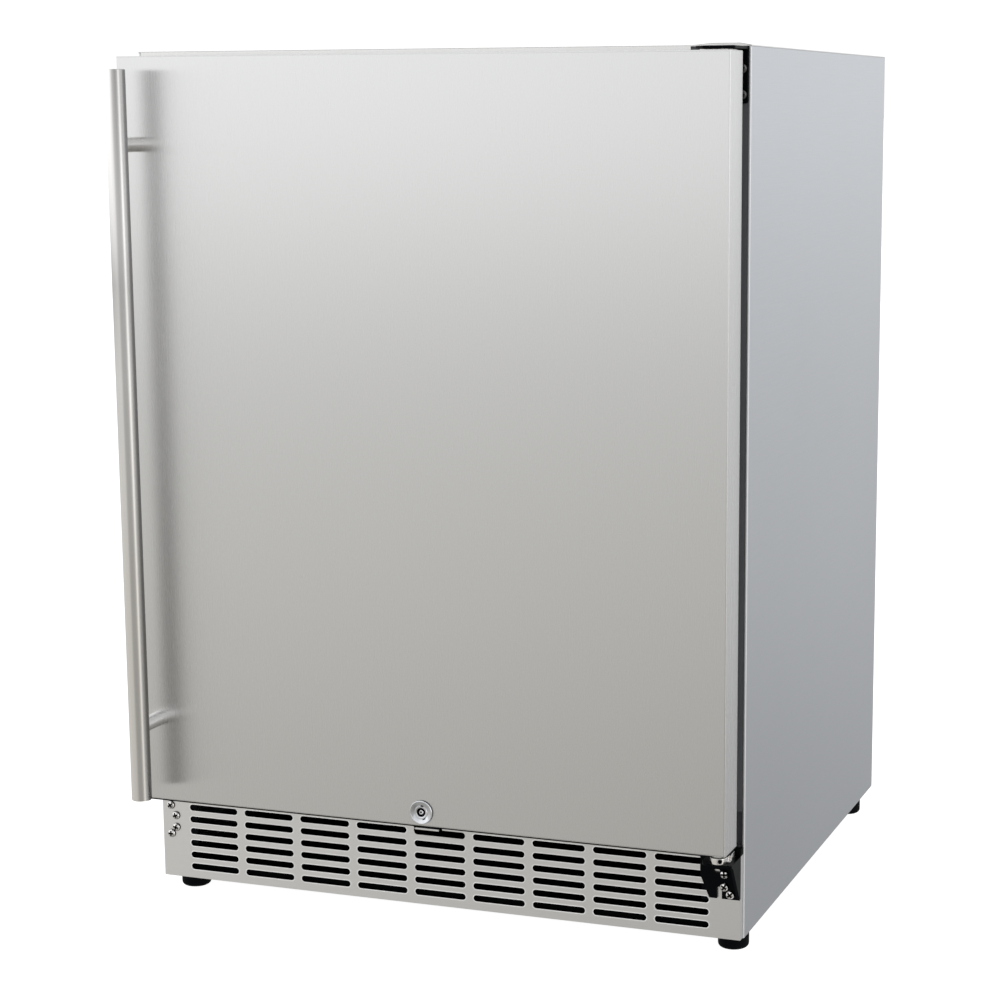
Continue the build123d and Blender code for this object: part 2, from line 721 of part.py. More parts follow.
with BuildPart() as upper_hinge_bracket:
    with BuildSketch(Plane.XY.offset(upper_bracket_z)) as nose:
        rect_between(upper_bracket_right_x - upper_bracket_width, upper_bracket_right_x,
                     upper_nose_y, frame_front_y)
        front_corners = nose.vertices().group_by(Axis.Y)[0].sort_by(Axis.X)
        chamfer(front_corners[0], shelf_nose_radius)
        fillet(nose.vertices().group_by(Axis.Y)[0].sort_by(Axis.X)[-1], bracket_sheet)
        with Locations((pivot_x, pivot_y)):
            Circle(pin_radius, mode=Mode.SUBTRACT)
    extrude(amount=bracket_sheet)
    with BuildSketch(front_plane(frame_front_y)) as leg:
        rect_between(upper_bracket_right_x - upper_bracket_leg_width, upper_bracket_right_x,
                     leg_low_z, upper_bracket_top_z)
        fillet(leg.vertices().group_by(Axis.Y)[0], bracket_sheet)
        with Locations(*upper_screws):
            Circle(screw_diameter / 2 + screw_hole_gap, mode=Mode.SUBTRACT)
    extrude(amount=bracket_sheet)
save(upper_hinge_bracket, "upper_hinge_bracket")

with BuildPart() as upper_hinge_pin:
    rod_z(pivot_x, pivot_y, door_top_z - pin_reach, upper_bracket_top_z, pin_radius)
    chamfer(upper_hinge_pin.edges().sort_by(Axis.Z)[0], 1)
save(upper_hinge_pin, "upper_hinge_pin")


# ---- pan-head screws -------------------------------------------------------------------------
screw_head_radius = screw_head_diameter / 2

with BuildPart() as pan_head_screw:  # along +Y, seated at the origin
    with BuildSketch(Plane.XY):
        with BuildLine():
            Line((0, -screw_head_height), (screw_head_radius / 2, -screw_head_height))
            ThreePointArc(
                (screw_head_radius / 2, -screw_head_height),
                (screw_head_radius * 0.86, -screw_head_height * 0.62),
                (screw_head_radius, 0),
            )
            Polyline(
                (screw_head_radius, 0),
                (screw_diameter / 2, 0),
                (screw_diameter / 2, screw_grip),
                (0, screw_grip),
                (0, -screw_head_height),
            )
        make_face()
    revolve(axis=Axis.Y)

with BuildPart() as hinge_screws:
    with Locations(*((x, bracket_front_y, z) for x, z in hinge_side_screws)):
        add(pan_head_screw.part)
    with Locations(*((x, kick_front_y, z) for x, z in plug_side_screws)):
        add(pan_head_screw.part)
    with Locations(*((x, frame_front_y - bracket_sheet, z) for x, z in upper_screws)):
        add(pan_head_screw.part)
save(hinge_screws, "hinge_screws")

# ---- rear cover ------------------------------------------------------------------------------
rear_cover_low_z = cabinet_bottom_z + base_sheet
rear_cover_top_z = bay_top_z + bay_sheet
cover_screw_places = [(x, z) for x in cover_screw_xs
                      for z in (rear_cover_low_z + cover_screw_inset, rear_cover_top_z - cover_screw_inset)]
gland_radius = gland_bore / 2 + 2.5

with BuildPart() as rear_cover:
    with BuildSketch(front_plane(base_back_y)):
        rect_between(-back_half_width, back_half_width, rear_cover_low_z, rear_cover_top_z)
        with Locations((condenser_x, (rear_cover_low_z + rear_cover_top_z) / 2)):
            with GridLocations(slot_pitch_x, slot_pitch_z * 1.5, 3, 7):
                SlotOverall(slot_length, slot_height, mode=Mode.SUBTRACT)
        with Locations((gland_x, gland_z)):
            Circle(gland_radius, mode=Mode.SUBTRACT)
        with Locations(*cover_screw_places):
            Circle(screw_diameter / 2 + screw_hole_gap, mode=Mode.SUBTRACT)
    extrude(amount=-back_sheet)
save(rear_cover, "rear_cover")

for piece in (base_pan, machine_bay_liner):
    with piece:
        for x, z in cover_screw_places:
            rod_y(x, base_back_y - 2 * base_sheet, base_back_y, z, screw_diameter / 2 + screw_hole_gap,
                  mode=Mode.SUBTRACT)
save(base_pan, "base_pan")
save(machine_bay_liner, "machine_bay_liner")

with BuildPart() as rear_cover_screws:
    for x, z in cover_screw_places:
        rod_y(x, cabinet_back_y - screw_grip, cabinet_back_y, z, screw_diameter / 2)
save(rear_cover_screws, "rear_cover_screws")

with BuildPart() as power_gland:
    with BuildSketch(Plane.XY) as gland_section:
        rect_between(gland_bore / 2, gland_flange / 2, cabinet_back_y - 3 * back_sheet, base_back_y)
        rect_between(gland_bore / 2, gland_radius, base_back_y, cabinet_back_y)
    revolve(axis=Axis.Y)
power_gland.part = power_gland.part.moved(Location((gland_x, 0, gland_z)))
save(power_gland, "power_gland")

# ---- door ------------------------------------------------------------------------------------
handle_x = -door_half_width + handle_inset
handle_y = door_front_y - handle_standoff
handle_low_z = door_bottom_z + handle_bottom_gap
post_places_z = (door_bottom_z + post_inset, door_top_z - post_inset)
skin_inner_y = door_front_y + door_sheet
flange_inner_y = door_back_y - door_sheet
lock_hole = lock_barrel_diameter / 2 + screw_hole_gap
opening_low_z = door_bottom_z + door_bottom_flange
opening_top_z = door_top_z - door_flange
opening_half = door_half_width - door_flange
pocket_end = pin_reach + 2

with BuildPart() as door_skin:
    box_between(-door_half_width, door_half_width, door_front_y, door_back_y, door_bottom_z, door_top_z)
    fillet(door_skin.faces().sort_by(Axis.Y)[0].edges(), door_edge_radius)
    box_between(-door_half_width + door_sheet, door_half_width - door_sheet, skin_inner_y, flange_inner_y,
                door_bottom_z + door_sheet, door_top_z - door_sheet, mode=Mode.SUBTRACT)
    box_between(-opening_half, opening_half, flange_inner_y, door_back_y, opening_low_z, opening_top_z,
                mode=Mode.SUBTRACT)
    rod_y(0, door_front_y, door_back_y, lock_z, lock_hole, mode=Mode.SUBTRACT)
    rod_z(pivot_x, pivot_y, door_bottom_z, door_top_z, bush_radius, mode=Mode.SUBTRACT)
    for z in post_places_z:
        rod_y(handle_x, door_front_y, skin_inner_y, z, post_screw_diameter / 2 + screw_hole_gap,
              mode=Mode.SUBTRACT)
save(door_skin, "door_skin")

with BuildPart() as door_foam:
    box_between(-door_half_width + door_sheet, door_half_width - door_sheet, skin_inner_y, flange_inner_y,
                door_bottom_z + door_sheet, door_top_z - door_sheet)
    box_between(-opening_half, opening_half, flange_inner_y, door_back_y, opening_low_z, opening_top_z)
    rod_y(0, door_front_y, door_back_y, lock_z, lock_hole, mode=Mode.SUBTRACT)
    rod_z(pivot_x, pivot_y, door_bottom_z, door_bottom_z + pocket_end, bush_radius, mode=Mode.SUBTRACT)
    rod_z(pivot_x, pivot_y, door_top_z - pocket_end, door_top_z, bush_radius, mode=Mode.SUBTRACT)
    for z in post_places_z:
        rod_y(handle_x, skin_inner_y, skin_inner_y + post_screw_head_height, z, post_screw_head / 2,
              mode=Mode.SUBTRACT)
save(door_foam, "door_foam")


def back_plane(y):
    """Sketch plane facing the back at depth y: its x is -X and its y is +Z."""
    return Plane(origin=(0, y, 0), x_dir=(-1, 0, 0), z_dir=(0, 1, 0))


dike_half = cavity_half_width - dike_gap
dike_low_z = cavity_floor_z + dike_gap_z
dike_top_z = cavity_ceiling_z - dike_gap_z
liner_face_y = door_back_y + door_liner_sheet
bin_half = dike_half - dike_width - bin_side_gap
bin_floors = [dike_low_z + rise for rise in bin_rises]

with BuildPart() as door_liner:
    box_between(-door_half_width + door_liner_lap, door_half_width - door_liner_lap,
                door_back_y, liner_face_y, opening_low_z - door_liner_lap, door_top_z - door_liner_lap)
    with BuildSketch(back_plane(liner_face_y)):
        with Locations((0, (dike_low_z + dike_top_z) / 2)):
            RectangleRounded(2 * dike_half, dike_top_z - dike_low_z, dike_width / 2)
    extrude(amount=dike_height, taper=dike_draft)
    with BuildSketch(back_plane(liner_face_y)):
        rect_between(-dike_half + dike_width, dike_half - dike_width, dike_low_z + dike_width,
                     dike_top_z - dike_width)
    extrude(amount=dike_height, taper=-dike_draft, mode=Mode.SUBTRACT)
    for bin_z in bin_floors:
        for side in (-1, 1):
            start_x, end_x = sorted((side * (bin_half - bin_lug), side * (dike_half - dike_width / 2)))
            box_between(start_x, end_x, liner_face_y, liner_face_y + dike_height - bin_lug,
                        bin_z - bin_lug, bin_z)
save(door_liner, "door_liner")

bin_names = ("door_bin_lower", "door_bin_middle", "door_bin_upper")
for bin_name, bin_z in zip(bin_names, bin_floors):
    with BuildPart() as door_bin:
        box_between(-bin_half, bin_half, liner_face_y + free_gap, liner_face_y + bin_depth, bin_z,
                    bin_z + bin_height)
        fillet(door_bin.edges().filter_by(Axis.Z).group_by(Axis.Y)[-1], bin_height / 5)
        offset(amount=-bin_wall, openings=door_bin.faces().sort_by(Axis.Z)[-1])
    save(door_bin, bin_name)

gasket_outer_half = door_half_width - gasket_inset_side
gasket_low_z = door_bottom_z + gasket_inset_bottom
gasket_top_z = door_top_z - gasket_inset_top
gasket_neck_inset = (gasket_width - gasket_neck) / 2
gasket_split_y = liner_face_y + gasket_neck_height

with BuildPart() as door_gasket:
    for inset, width, start_y, end_y in (
        (gasket_neck_inset, gasket_neck, liner_face_y, gasket_split_y),
        (0, gasket_width, gasket_split_y, frame_front_y - seal_clearance),
    ):
        with BuildSketch(front_plane(start_y)):
            rect_between(-gasket_outer_half + inset, gasket_outer_half - inset,
                         gasket_low_z + inset, gasket_top_z - inset)
            inner = inset + width
            rect_between(-gasket_outer_half + inner, gasket_outer_half - inner,
                         gasket_low_z + inner, gasket_top_z - inner, mode=Mode.SUBTRACT)
        extrude(amount=start_y - end_y)
save(door_gasket, "door_gasket")

# ---- handle ----------------------------------------------------------------------------------
bar_radius = handle_diameter / 2

with BuildPart() as handle_bar:
    rod_z(handle_x, handle_y, handle_low_z, handle_low_z + handle_length, bar_radius)
    chamfer(handle_bar.edges().filter_by(GeomType.CIRCLE), handle_end_chamfer)
save(handle_bar, "handle_bar")

screw_tail_y = skin_inner_y - post_screw_length

with BuildPart() as handle_posts:
    for z in post_places_z:
        rod_y(handle_x, handle_y, door_front_y, z, post_diameter / 2)
        rod_y(handle_x, screw_tail_y, door_front_y, z, post_screw_diameter / 2 + screw_hole_gap,
              mode=Mode.SUBTRACT)
    rod_z(handle_x, handle_y, handle_low_z, handle_low_z + handle_length, bar_radius, mode=Mode.SUBTRACT)
save(handle_posts, "handle_posts")

with BuildPart() as handle_screws:
    for z in post_places_z:
        rod_y(handle_x, screw_tail_y, skin_inner_y, z, post_screw_diameter / 2)
        rod_y(handle_x, skin_inner_y, skin_inner_y + post_screw_head_height, z, post_screw_head / 2)
save(handle_screws, "handle_screws")

# ---- door side of the hinges -----------------------------------------------------------------
door_plate_front_y = door_front_y + door_plate_setback

with BuildPart() as lower_door_plate:
    with BuildSketch(Plane.XY.offset(door_bottom_z - lower_plate_thickness)) as plate:
        rect_between(door_half_width - 2 * free_gap - door_plate_length, door_half_width - 2 * free_gap,
                     door_plate_front_y, door_plate_front_y + door_plate_depth)
        fillet(plate.vertices(), lower_plate_thickness)
        with Locations((pivot_x, pivot_y)):
            Circle(bush_radius, mode=Mode.SUBTRACT)
    extrude(amount=lower_plate_thickness)
save(lower_door_plate, "lower_door_plate")

with BuildPart() as upper_door_plate:
    with BuildSketch(Plane.XY.offset(door_top_z)) as plate:
        rect_between(pivot_x + bush_radius + bracket_sheet - upper_door_plate_length,
                     pivot_x + bush_radius + bracket_sheet, door_plate_front_y,
                     door_plate_front_y + door_plate_depth - bracket_sheet)
        fillet(plate.vertices(), lower_plate_thickness)
        with Locations((pivot_x, pivot_y)):
            Circle(bush_radius, mode=Mode.SUBTRACT)
    extrude(amount=upper_plate_thickness)
save(upper_door_plate, "upper_door_plate")

bush_spans = (
    (boss_top_z + free_gap, door_bottom_z + pin_reach + running_clearance),
    (door_top_z - pin_reach - running_clearance, door_top_z + upper_plate_thickness),
)

with BuildPart() as hinge_bushes:
    for low_z, high_z in bush_spans:
        rod_z(pivot_x, pivot_y, low_z, high_z, bush_radius)
        rod_z(pivot_x, pivot_y, low_z, high_z, pin_radius + running_clearance, mode=Mode.SUBTRACT)
save(hinge_bushes, "hinge_bushes")

# ---- lock ------------------------------------------------------------------------------------
plug_radius = lock_plug_diameter / 2
barrel_radius = lock_barrel_diameter / 2
bezel_radius = lock_bezel_diameter / 2
cam_front_y = door_front_y + cam_plane
barrel_end_y = cam_front_y - 2 * free_gap
bezel_front_y = door_front_y - lock_bezel_height
cam_hub_radius = cam_hub_diameter / 2
cam_bore = plug_radius / 2

with BuildPart() as lock_housing:
    with BuildSketch(Plane.XY):
        with BuildLine():
            Polyline(
                (plug_radius + running_clearance, bezel_front_y),
                (bezel_radius - lock_bezel_height, bezel_front_y),
                (bezel_radius, door_front_y - lock_bezel_height / 3),
                (bezel_radius, door_front_y),
                (barrel_radius, door_front_y),
                (barrel_radius, barrel_end_y),
                (plug_radius + running_clearance, barrel_end_y),
                close=True,
            )
        make_face()
    revolve(axis=Axis.Y)
lock_housing.part = lock_housing.part.moved(Location((0, 0, lock_z)))
save(lock_housing, "lock_housing")

with BuildPart() as lock_nut:
    with BuildSketch(back_plane(door_back_y)):
        with Locations((0, lock_z)):
            RegularPolygon(lock_nut_width / 2, 6, major_radius=False)
            Circle(barrel_radius + running_clearance, mode=Mode.SUBTRACT)
    extrude(amount=lock_nut_height)
save(lock_nut, "lock_nut")

with BuildPart() as lock_plug:
    rod_y(0, bezel_front_y + lock_plug_recess, barrel_end_y, lock_z, plug_radius)
    rod_y(0, barrel_end_y, cam_front_y + cam_thickness, lock_z, cam_bore)
    with BuildSketch(front_plane(bezel_front_y + lock_plug_recess)):
        with Locations((0, lock_z)):
            Circle(keyway_outer / 2)
            Circle(keyway_inner / 2, mode=Mode.SUBTRACT)
        with Locations((0, lock_z + keyway_outer / 2)):
            Rectangle(keyway_inner / 2, keyway_inner / 2)
    extrude(amount=-keyway_depth, mode=Mode.SUBTRACT)
save(lock_plug, "lock_plug")

with BuildPart() as lock_cam:
    with BuildSketch(back_plane(cam_front_y)):
        with Locations((0, lock_z)):
            Circle(cam_hub_radius)
        with Locations((cam_length / 2, lock_z)):
            Rectangle(cam_length, cam_width)
        with Locations((0, lock_z)):
            Circle(cam_bore, mode=Mode.SUBTRACT)
    extrude(amount=cam_thickness)
    fillet(lock_cam.edges().filter_by(Axis.Y).group_by(Axis.X)[0], cam_width / 4)
save(lock_cam, "lock_cam")

# ---- shelves ---------------------------------------------------------------------------------
shelf_half = cavity_half_width - shelf_wall_gap
rod_radius = shelf_rod_diameter / 2
wire_radius = shelf_wire_diameter / 2
loop_half = shelf_half - rod_radius
loop_front_y = door_front_y + shelf_setback + rod_radius
loop_back_y = cavity_back_y - liner_radius - rod_radius
loop_middle_y = (loop_front_y + loop_back_y) / 2
wire_pitch = 2 * (loop_half - shelf_corner_radius) / (shelf_wires - 1)
wire_rise = rod_radius + wire_radius - shelf_wire_sink
rail_levels = [cavity_floor_z + rail_rise + pair * rail_pitch for pair in range(rail_pairs)]
rail_front_end_y = box_front_y - 2 * free_gap

with BuildPart() as shelf_rails:
    for level in rail_levels:
        rail_end_y = (cavity_back_y if level > step_top_z else step_front_y) - liner_radius
        for side in (-1, 1):
            start_x, end_x = sorted((side * (cavity_half_width - rail_depth), side * cavity_half_width))
            box_between(start_x, end_x, rail_front_end_y, rail_end_y, level - rail_height, level)
    fillet(shelf_rails.edges().filter_by(Axis.Z).group_by(Axis.Y)[0].filter_by(
        lambda e: abs(e.center().X) < cavity_half_width - rail_depth / 2), rail_height / 2)
save(shelf_rails, "shelf_rails")

for shelf_name, pair in rails_of_shelves.items():
    loop_z = rail_levels[pair] + free_gap + rod_radius
    with BuildPart() as wire_shelf:
        with BuildLine(Plane.XY.offset(loop_z)):
            loop = FilletPolyline(
                (loop_half, loop_front_y),
                (loop_half, loop_back_y),
                (-loop_half, loop_back_y),
                (-loop_half, loop_front_y),
                radius=shelf_corner_radius,
                close=True,
            )
        with BuildSketch(Plane(origin=loop @ 0, z_dir=loop % 0)):
            Circle(rod_radius)
        sweep()
        for wire in range(shelf_wires):
            x = -loop_half + shelf_corner_radius + wire * wire_pitch
            rod_y(x, loop_front_y, loop_back_y, loop_z + wire_rise, wire_radius)
        with Locations(Location((0, loop_middle_y, loop_z), (0, 90, 0))):
            Cylinder(rod_radius, 2 * loop_half)
    save(wire_shelf, shelf_name)

# ---- thermostat and lamp ---------------------------------------------------------------------
box_right_x = cavity_half_width - control_box_inset
box_left_x = box_right_x - control_box_width
box_back_y = box_front_y + control_box_depth
box_low_z = cavity_ceiling_z - control_box_height
box_middle_x = (box_left_x + box_right_x) / 2
box_middle_y = (box_front_y + box_back_y) / 2
knob_z = cavity_ceiling_z - control_box_height / 2
spindle_radius = knob_spindle / 2

with BuildPart() as control_box:
    box_between(box_left_x, box_right_x, box_front_y, box_back_y, box_low_z, cavity_ceiling_z)
    fillet(control_box.edges().filter_by(Axis.Z), control_box_radius)
    fillet(control_box.faces().sort_by(Axis.Z)[0].edges(), control_box_radius / 2)
    offset(amount=-control_box_wall, openings=control_box.faces().sort_by(Axis.Z)[-1])
    box_between(box_middle_x - lens_width / 2 + lens_wall, box_middle_x + lens_width / 2 - lens_wall,
                box_middle_y - lens_depth / 2 + lens_wall, box_middle_y + lens_depth / 2 - lens_wall,
                box_low_z, box_low_z + control_box_wall, mode=Mode.SUBTRACT)
    rod_y(box_middle_x, box_front_y, box_front_y + control_box_wall, knob_z,
          spindle_radius + running_clearance, mode=Mode.SUBTRACT)
save(control_box, "control_box")

with BuildPart() as lamp_lens:
    box_between(box_middle_x - lens_width / 2, box_middle_x + lens_width / 2,
                box_middle_y - lens_depth / 2, box_middle_y + lens_depth / 2,
                box_low_z - lens_drop, box_low_z)
    fillet(lamp_lens.faces().sort_by(Axis.Z)[0].edges(), lens_drop / 2)
    offset(amount=-lens_wall, openings=lamp_lens.faces().sort_by(Axis.Z)[-1])
save(lamp_lens, "lamp_lens")

knob_back_y = box_front_y - free_gap
knob_front_y = knob_back_y - knob_height
knob_radius = knob_diameter / 2
lobe_radius = knob_grip_diameter / knob_grip_lobes / 2

with BuildPart() as thermostat_knob:
    with BuildSketch(front_plane(knob_back_y)):
        with Locations((box_middle_x, knob_z)):
            Circle(knob_radius)
    extrude(amount=knob_skirt)
    chamfer(thermostat_knob.edges().sort_by(Axis.Y)[0], knob_skirt / 3)
    with BuildSketch(front_plane(knob_back_y - knob_skirt)):
        with Locations((box_middle_x, knob_z)):
            Circle(knob_grip_diameter / 2)
            with PolarLocations(knob_grip_diameter / 2, knob_grip_lobes):
                Circle(lobe_radius, mode=Mode.SUBTRACT)
    extrude(amount=knob_height - knob_skirt)
    box_between(box_middle_x - lobe_radius / 2, box_middle_x + lobe_radius / 2, knob_front_y,
                knob_front_y + lobe_radius, knob_z, knob_z + knob_grip_diameter / 3, mode=Mode.SUBTRACT)
    rod_y(box_middle_x, knob_back_y, box_front_y + 2 * control_box_wall, knob_z, spindle_radius)
save(thermostat_knob, "thermostat_knob")


# ---- evaporator ------------------------------------------------------------------------------
def finned_block(width, depth, height):
    """A finned coil standing on the origin: a web at the back with upright fins to the front."""
    fin_pitch = (width - fin_wall) / (coil_fins - 1)
    with BuildPart() as block:
        with BuildSketch(Plane.XY):
            rect_between(-width / 2, width / 2, -coil_web, 0)
            with Locations((0, -depth / 2)):
                with GridLocations(fin_pitch, 1, coil_fins, 1):
                    Rectangle(fin_wall, depth)
        extrude(amount=height)
    return block.part


def fan_wheel(diameter):
    """A bladed wheel on the Y axis, its front face at the origin."""
    radius = diameter / 2
    hub_radius = radius * fan_hub_share
    chord = (fan_thickness - fan_blade_wall) / sin(radians(fan_blade_pitch))
    with BuildPart() as blades:
        with PolarLocations((hub_radius + radius) / 2, fan_blades):
            Box(radius - hub_radius + 2, chord, fan_blade_wall, rotation=(fan_blade_pitch, 0, 0))
        Cylinder(radius, fan_thickness, mode=Mode.INTERSECT)
        Cylinder(hub_radius, fan_thickness)
        Cylinder(shaft_diameter / 2 + running_clearance, fan_thickness, mode=Mode.SUBTRACT)
    return blades.part.moved(Location((0, fan_thickness / 2, 0), (90, 0, 0)))


cover_half = cover_width / 2
cover_top_z = cavity_ceiling_z - cover_top_gap
cover_low_z = cover_top_z - cover_height
cover_front_y = cavity_back_y - cover_depth
cover_middle_z = (cover_low_z + cover_top_z) / 2

with BuildPart() as evaporator_cover:
    box_between(-cover_half, cover_half, cover_front_y, cavity_back_y, cover_low_z, cover_top_z)
    fillet(evaporator_cover.faces().sort_by(Axis.Y)[0].edges(), cover_edge_radius)
    offset(amount=-cover_wall, openings=evaporator_cover.faces().sort_by(Axis.Y)[-1])
    with BuildSketch(front_plane(cover_front_y)):
        with Locations((evaporator_fan_x, cover_middle_z)):
            with GridLocations(1, cover_slot_pitch, 1, cover_slots):
                SlotOverall(cover_slot_length, cover_slot_height)
        with Locations((evaporator_coil_x, cover_low_z + 2 * cover_slot_pitch)):
            with GridLocations(cover_slot_pitch, 1, cover_intake_slots, 1):
                SlotOverall(2 * cover_slot_pitch, cover_slot_height, rotation=90)
    extrude(amount=-cover_wall, mode=Mode.SUBTRACT)
save(evaporator_cover, "evaporator_cover")

evaporator_coil = finned_block(evaporator_coil_width, evaporator_coil_depth, evaporator_coil_height)
evaporator_coil = evaporator_coil.moved(Location((evaporator_coil_x, cavity_back_y,
                                                  cover_middle_z - evaporator_coil_height / 2)))
evaporator_coil.label = "evaporator_coil"
export_step(evaporator_coil, "parts/evaporator_coil.step")

evaporator_fan_y = cover_front_y + cover_wall + 2
motor_radius = motor_diameter / 2
shaft_radius = shaft_diameter / 2

with BuildPart() as evaporator_fan_motor:
    rod_y(evaporator_fan_x, evaporator_fan_y + fan_thickness + 2, cavity_back_y - motor_foot, cover_middle_z,
          motor_radius)
    rod_y(evaporator_fan_x, evaporator_fan_y, cavity_back_y - motor_foot, cover_middle_z, shaft_radius)
    box_between(evaporator_fan_x - motor_diameter, evaporator_fan_x + motor_diameter,
                cavity_back_y - motor_foot, cavity_back_y, cover_middle_z - motor_radius / 2,
                cover_middle_z + motor_radius / 2)
save(evaporator_fan_motor, "evaporator_fan_motor")

evaporator_fan = fan_wheel(evaporator_fan_diameter).moved(
    Location((evaporator_fan_x, evaporator_fan_y, cover_middle_z)))
evaporator_fan.label = "evaporator_fan"
export_step(evaporator_fan, "parts/evaporator_fan.step")

# ---- compressor ------------------------------------------------------------------------------
compressor_y = cabinet_back_y - compressor_setback
compressor_radius = compressor_diameter / 2
compressor_low_z = base_top_z + grommet_height
compressor_top_z = compressor_low_z + compressor_height
seam_low_z = compressor_low_z + compressor_height * 0.55
grommet_places = [(compressor_x + sx * (compressor_foot_width - grommet_diameter) / 2,
                   compressor_y + sy * (compressor_foot_depth - grommet_diameter) / 2)
                  for sx in (-1, 1) for sy in (-1, 1)]

with BuildPart() as compressor:
    with BuildSketch(Plane.XZ):
        with BuildLine():
            Line((0, compressor_low_z), (compressor_radius / 2, compressor_low_z))
            EllipticalCenterArc(
                (compressor_radius / 2, compressor_low_z + compressor_dome),
                compressor_radius / 2, compressor_dome, start_angle=270, arc_size=90,
            )
            Polyline(
                (compressor_radius, compressor_low_z + compressor_dome),
                (compressor_radius, seam_low_z),
                (compressor_radius + compressor_seam / 2, seam_low_z),
                (compressor_radius + compressor_seam / 2, seam_low_z + compressor_seam),
                (compressor_radius, seam_low_z + compressor_seam),
                (compressor_radius, compressor_top_z - compressor_dome),
            )
            EllipticalCenterArc(
                (compressor_radius / 2, compressor_top_z - compressor_dome),
                compressor_radius / 2, compressor_dome, start_angle=0, arc_size=90,
            )
            Polyline(
                (compressor_radius / 2, compressor_top_z),
                (0, compressor_top_z),
                (0, compressor_low_z),
            )
        make_face()
    revolve(axis=Axis.Z)
compressor.part = compressor.part.moved(Location((compressor_x, compressor_y, 0)))
with compressor:
    with BuildSketch(Plane.XY.offset(compressor_low_z)):
        with Locations((compressor_x, compressor_y)):
            RectangleRounded(compressor_foot_width, compressor_foot_depth, grommet_diameter / 2)
        with Locations(*grommet_places):
            Circle(shaft_radius, mode=Mode.SUBTRACT)
    extrude(amount=compressor_foot_sheet)
save(compressor, "compressor")

with BuildPart() as compressor_grommets:
    for x, y in grommet_places:
        rod_z(x, y, base_top_z, compressor_low_z, grommet_diameter / 2)
        rod_z(x, y, compressor_low_z, compressor_low_z + compressor_foot_sheet, shaft_radius)
save(compressor_grommets, "compressor_grommets")

box_outer_x = compressor_x - compressor_radius - terminal_box_width * 0.8
terminal_low_z = compressor_low_z + compressor_dome

with BuildPart() as terminal_box:
    box_between(box_outer_x, box_outer_x + terminal_box_width, compressor_y - terminal_box_depth / 2,
                compressor_y + terminal_box_depth / 2, terminal_low_z, terminal_low_z + terminal_box_height)
    fillet(terminal_box.faces().sort_by(Axis.X)[0].edges(), shaft_radius)
    rod_z(compressor_x, compressor_y, terminal_low_z, terminal_low_z + terminal_box_height,
          compressor_radius, mode=Mode.SUBTRACT)
save(terminal_box, "terminal_box")

# ---- condenser -------------------------------------------------------------------------------
condenser_front_y = bay_front_y + condenser_gap
condenser_back_y = condenser_front_y + condenser_depth
condenser_z = base_top_z + condenser_size / 2
shroud_back_y = condenser_back_y + shroud_depth
condenser_fan_y = condenser_back_y + 2
condenser_half = condenser_size / 2

condenser_coil = finned_block(condenser_size, condenser_depth, condenser_size)
condenser_coil = condenser_coil.moved(Location((condenser_x, condenser_back_y, base_top_z)))
condenser_coil.label = "condenser_coil"
export_step(condenser_coil, "parts/condenser_coil.step")

with BuildPart() as condenser_shroud:
    box_between(condenser_x - condenser_half, condenser_x + condenser_half, condenser_back_y, shroud_back_y,
                base_top_z, base_top_z + condenser_size)
    box_between(condenser_x - condenser_half + shroud_wall, condenser_x + condenser_half - shroud_wall,
                condenser_back_y, shroud_back_y - shroud_wall, base_top_z + shroud_wall,
                base_top_z + condenser_size - shroud_wall, mode=Mode.SUBTRACT)
    with BuildSketch(front_plane(shroud_back_y)):
        with Locations((condenser_x, condenser_z)):
            Circle(condenser_fan_diameter / 2 + shroud_wall)
            Rectangle(condenser_size, shroud_bar, mode=Mode.SUBTRACT)
    extrude(amount=shroud_wall, mode=Mode.SUBTRACT)
    rod_y(condenser_x, shroud_back_y - shroud_wall, shroud_back_y, condenser_z, motor_radius / 2,
          mode=Mode.SUBTRACT)
save(condenser_shroud, "condenser_shroud")

with BuildPart() as condenser_fan_motor:
    rod_y(condenser_x, shroud_back_y, shroud_back_y + motor_diameter, condenser_z, motor_radius)
    fillet(condenser_fan_motor.edges().sort_by(Axis.Y)[-1], motor_foot)
    rod_y(condenser_x, condenser_fan_y, shroud_back_y, condenser_z, shaft_radius)
save(condenser_fan_motor, "condenser_fan_motor")

condenser_fan = fan_wheel(condenser_fan_diameter).moved(Location((condenser_x, condenser_fan_y, condenser_z)))
condenser_fan.label = "condenser_fan"
export_step(condenser_fan, "parts/condenser_fan.step")

# ---- refrigerant lines -----------------------------------------------------------------------
line_y = (condenser_front_y + condenser_back_y) / 2
suction_y = bay_front_y + tube_diameter
condenser_left_x = condenser_x - condenser_half
compressor_side_x = compressor_x + compressor_radius
discharge_z = (compressor_low_z + seam_low_z) / 2
liquid_z = base_top_z + 2 * drier_diameter
line_step = (condenser_left_x - compressor_side_x) / 3
drier_right_x = condenser_left_x - tube_bend
drier_left_x = drier_right_x - drier_length
riser_x = drier_left_x - 2 * tube_bend
discharge_line = [
    (compressor_side_x, compressor_y, discharge_z),
    (compressor_side_x + line_step, compressor_y, discharge_z),
    (compressor_side_x + line_step, line_y, discharge_z),
    (condenser_left_x, line_y, discharge_z),
]
liquid_line = [
    (condenser_left_x, line_y, liquid_z),
    (riser_x, line_y, liquid_z),
    (riser_x, line_y, bay_top_z),
]
suction_line = [
    (compressor_x, compressor_y - compressor_radius, discharge_z),
    (compressor_x, suction_y, discharge_z),
    (compressor_x, suction_y, bay_top_z),
]

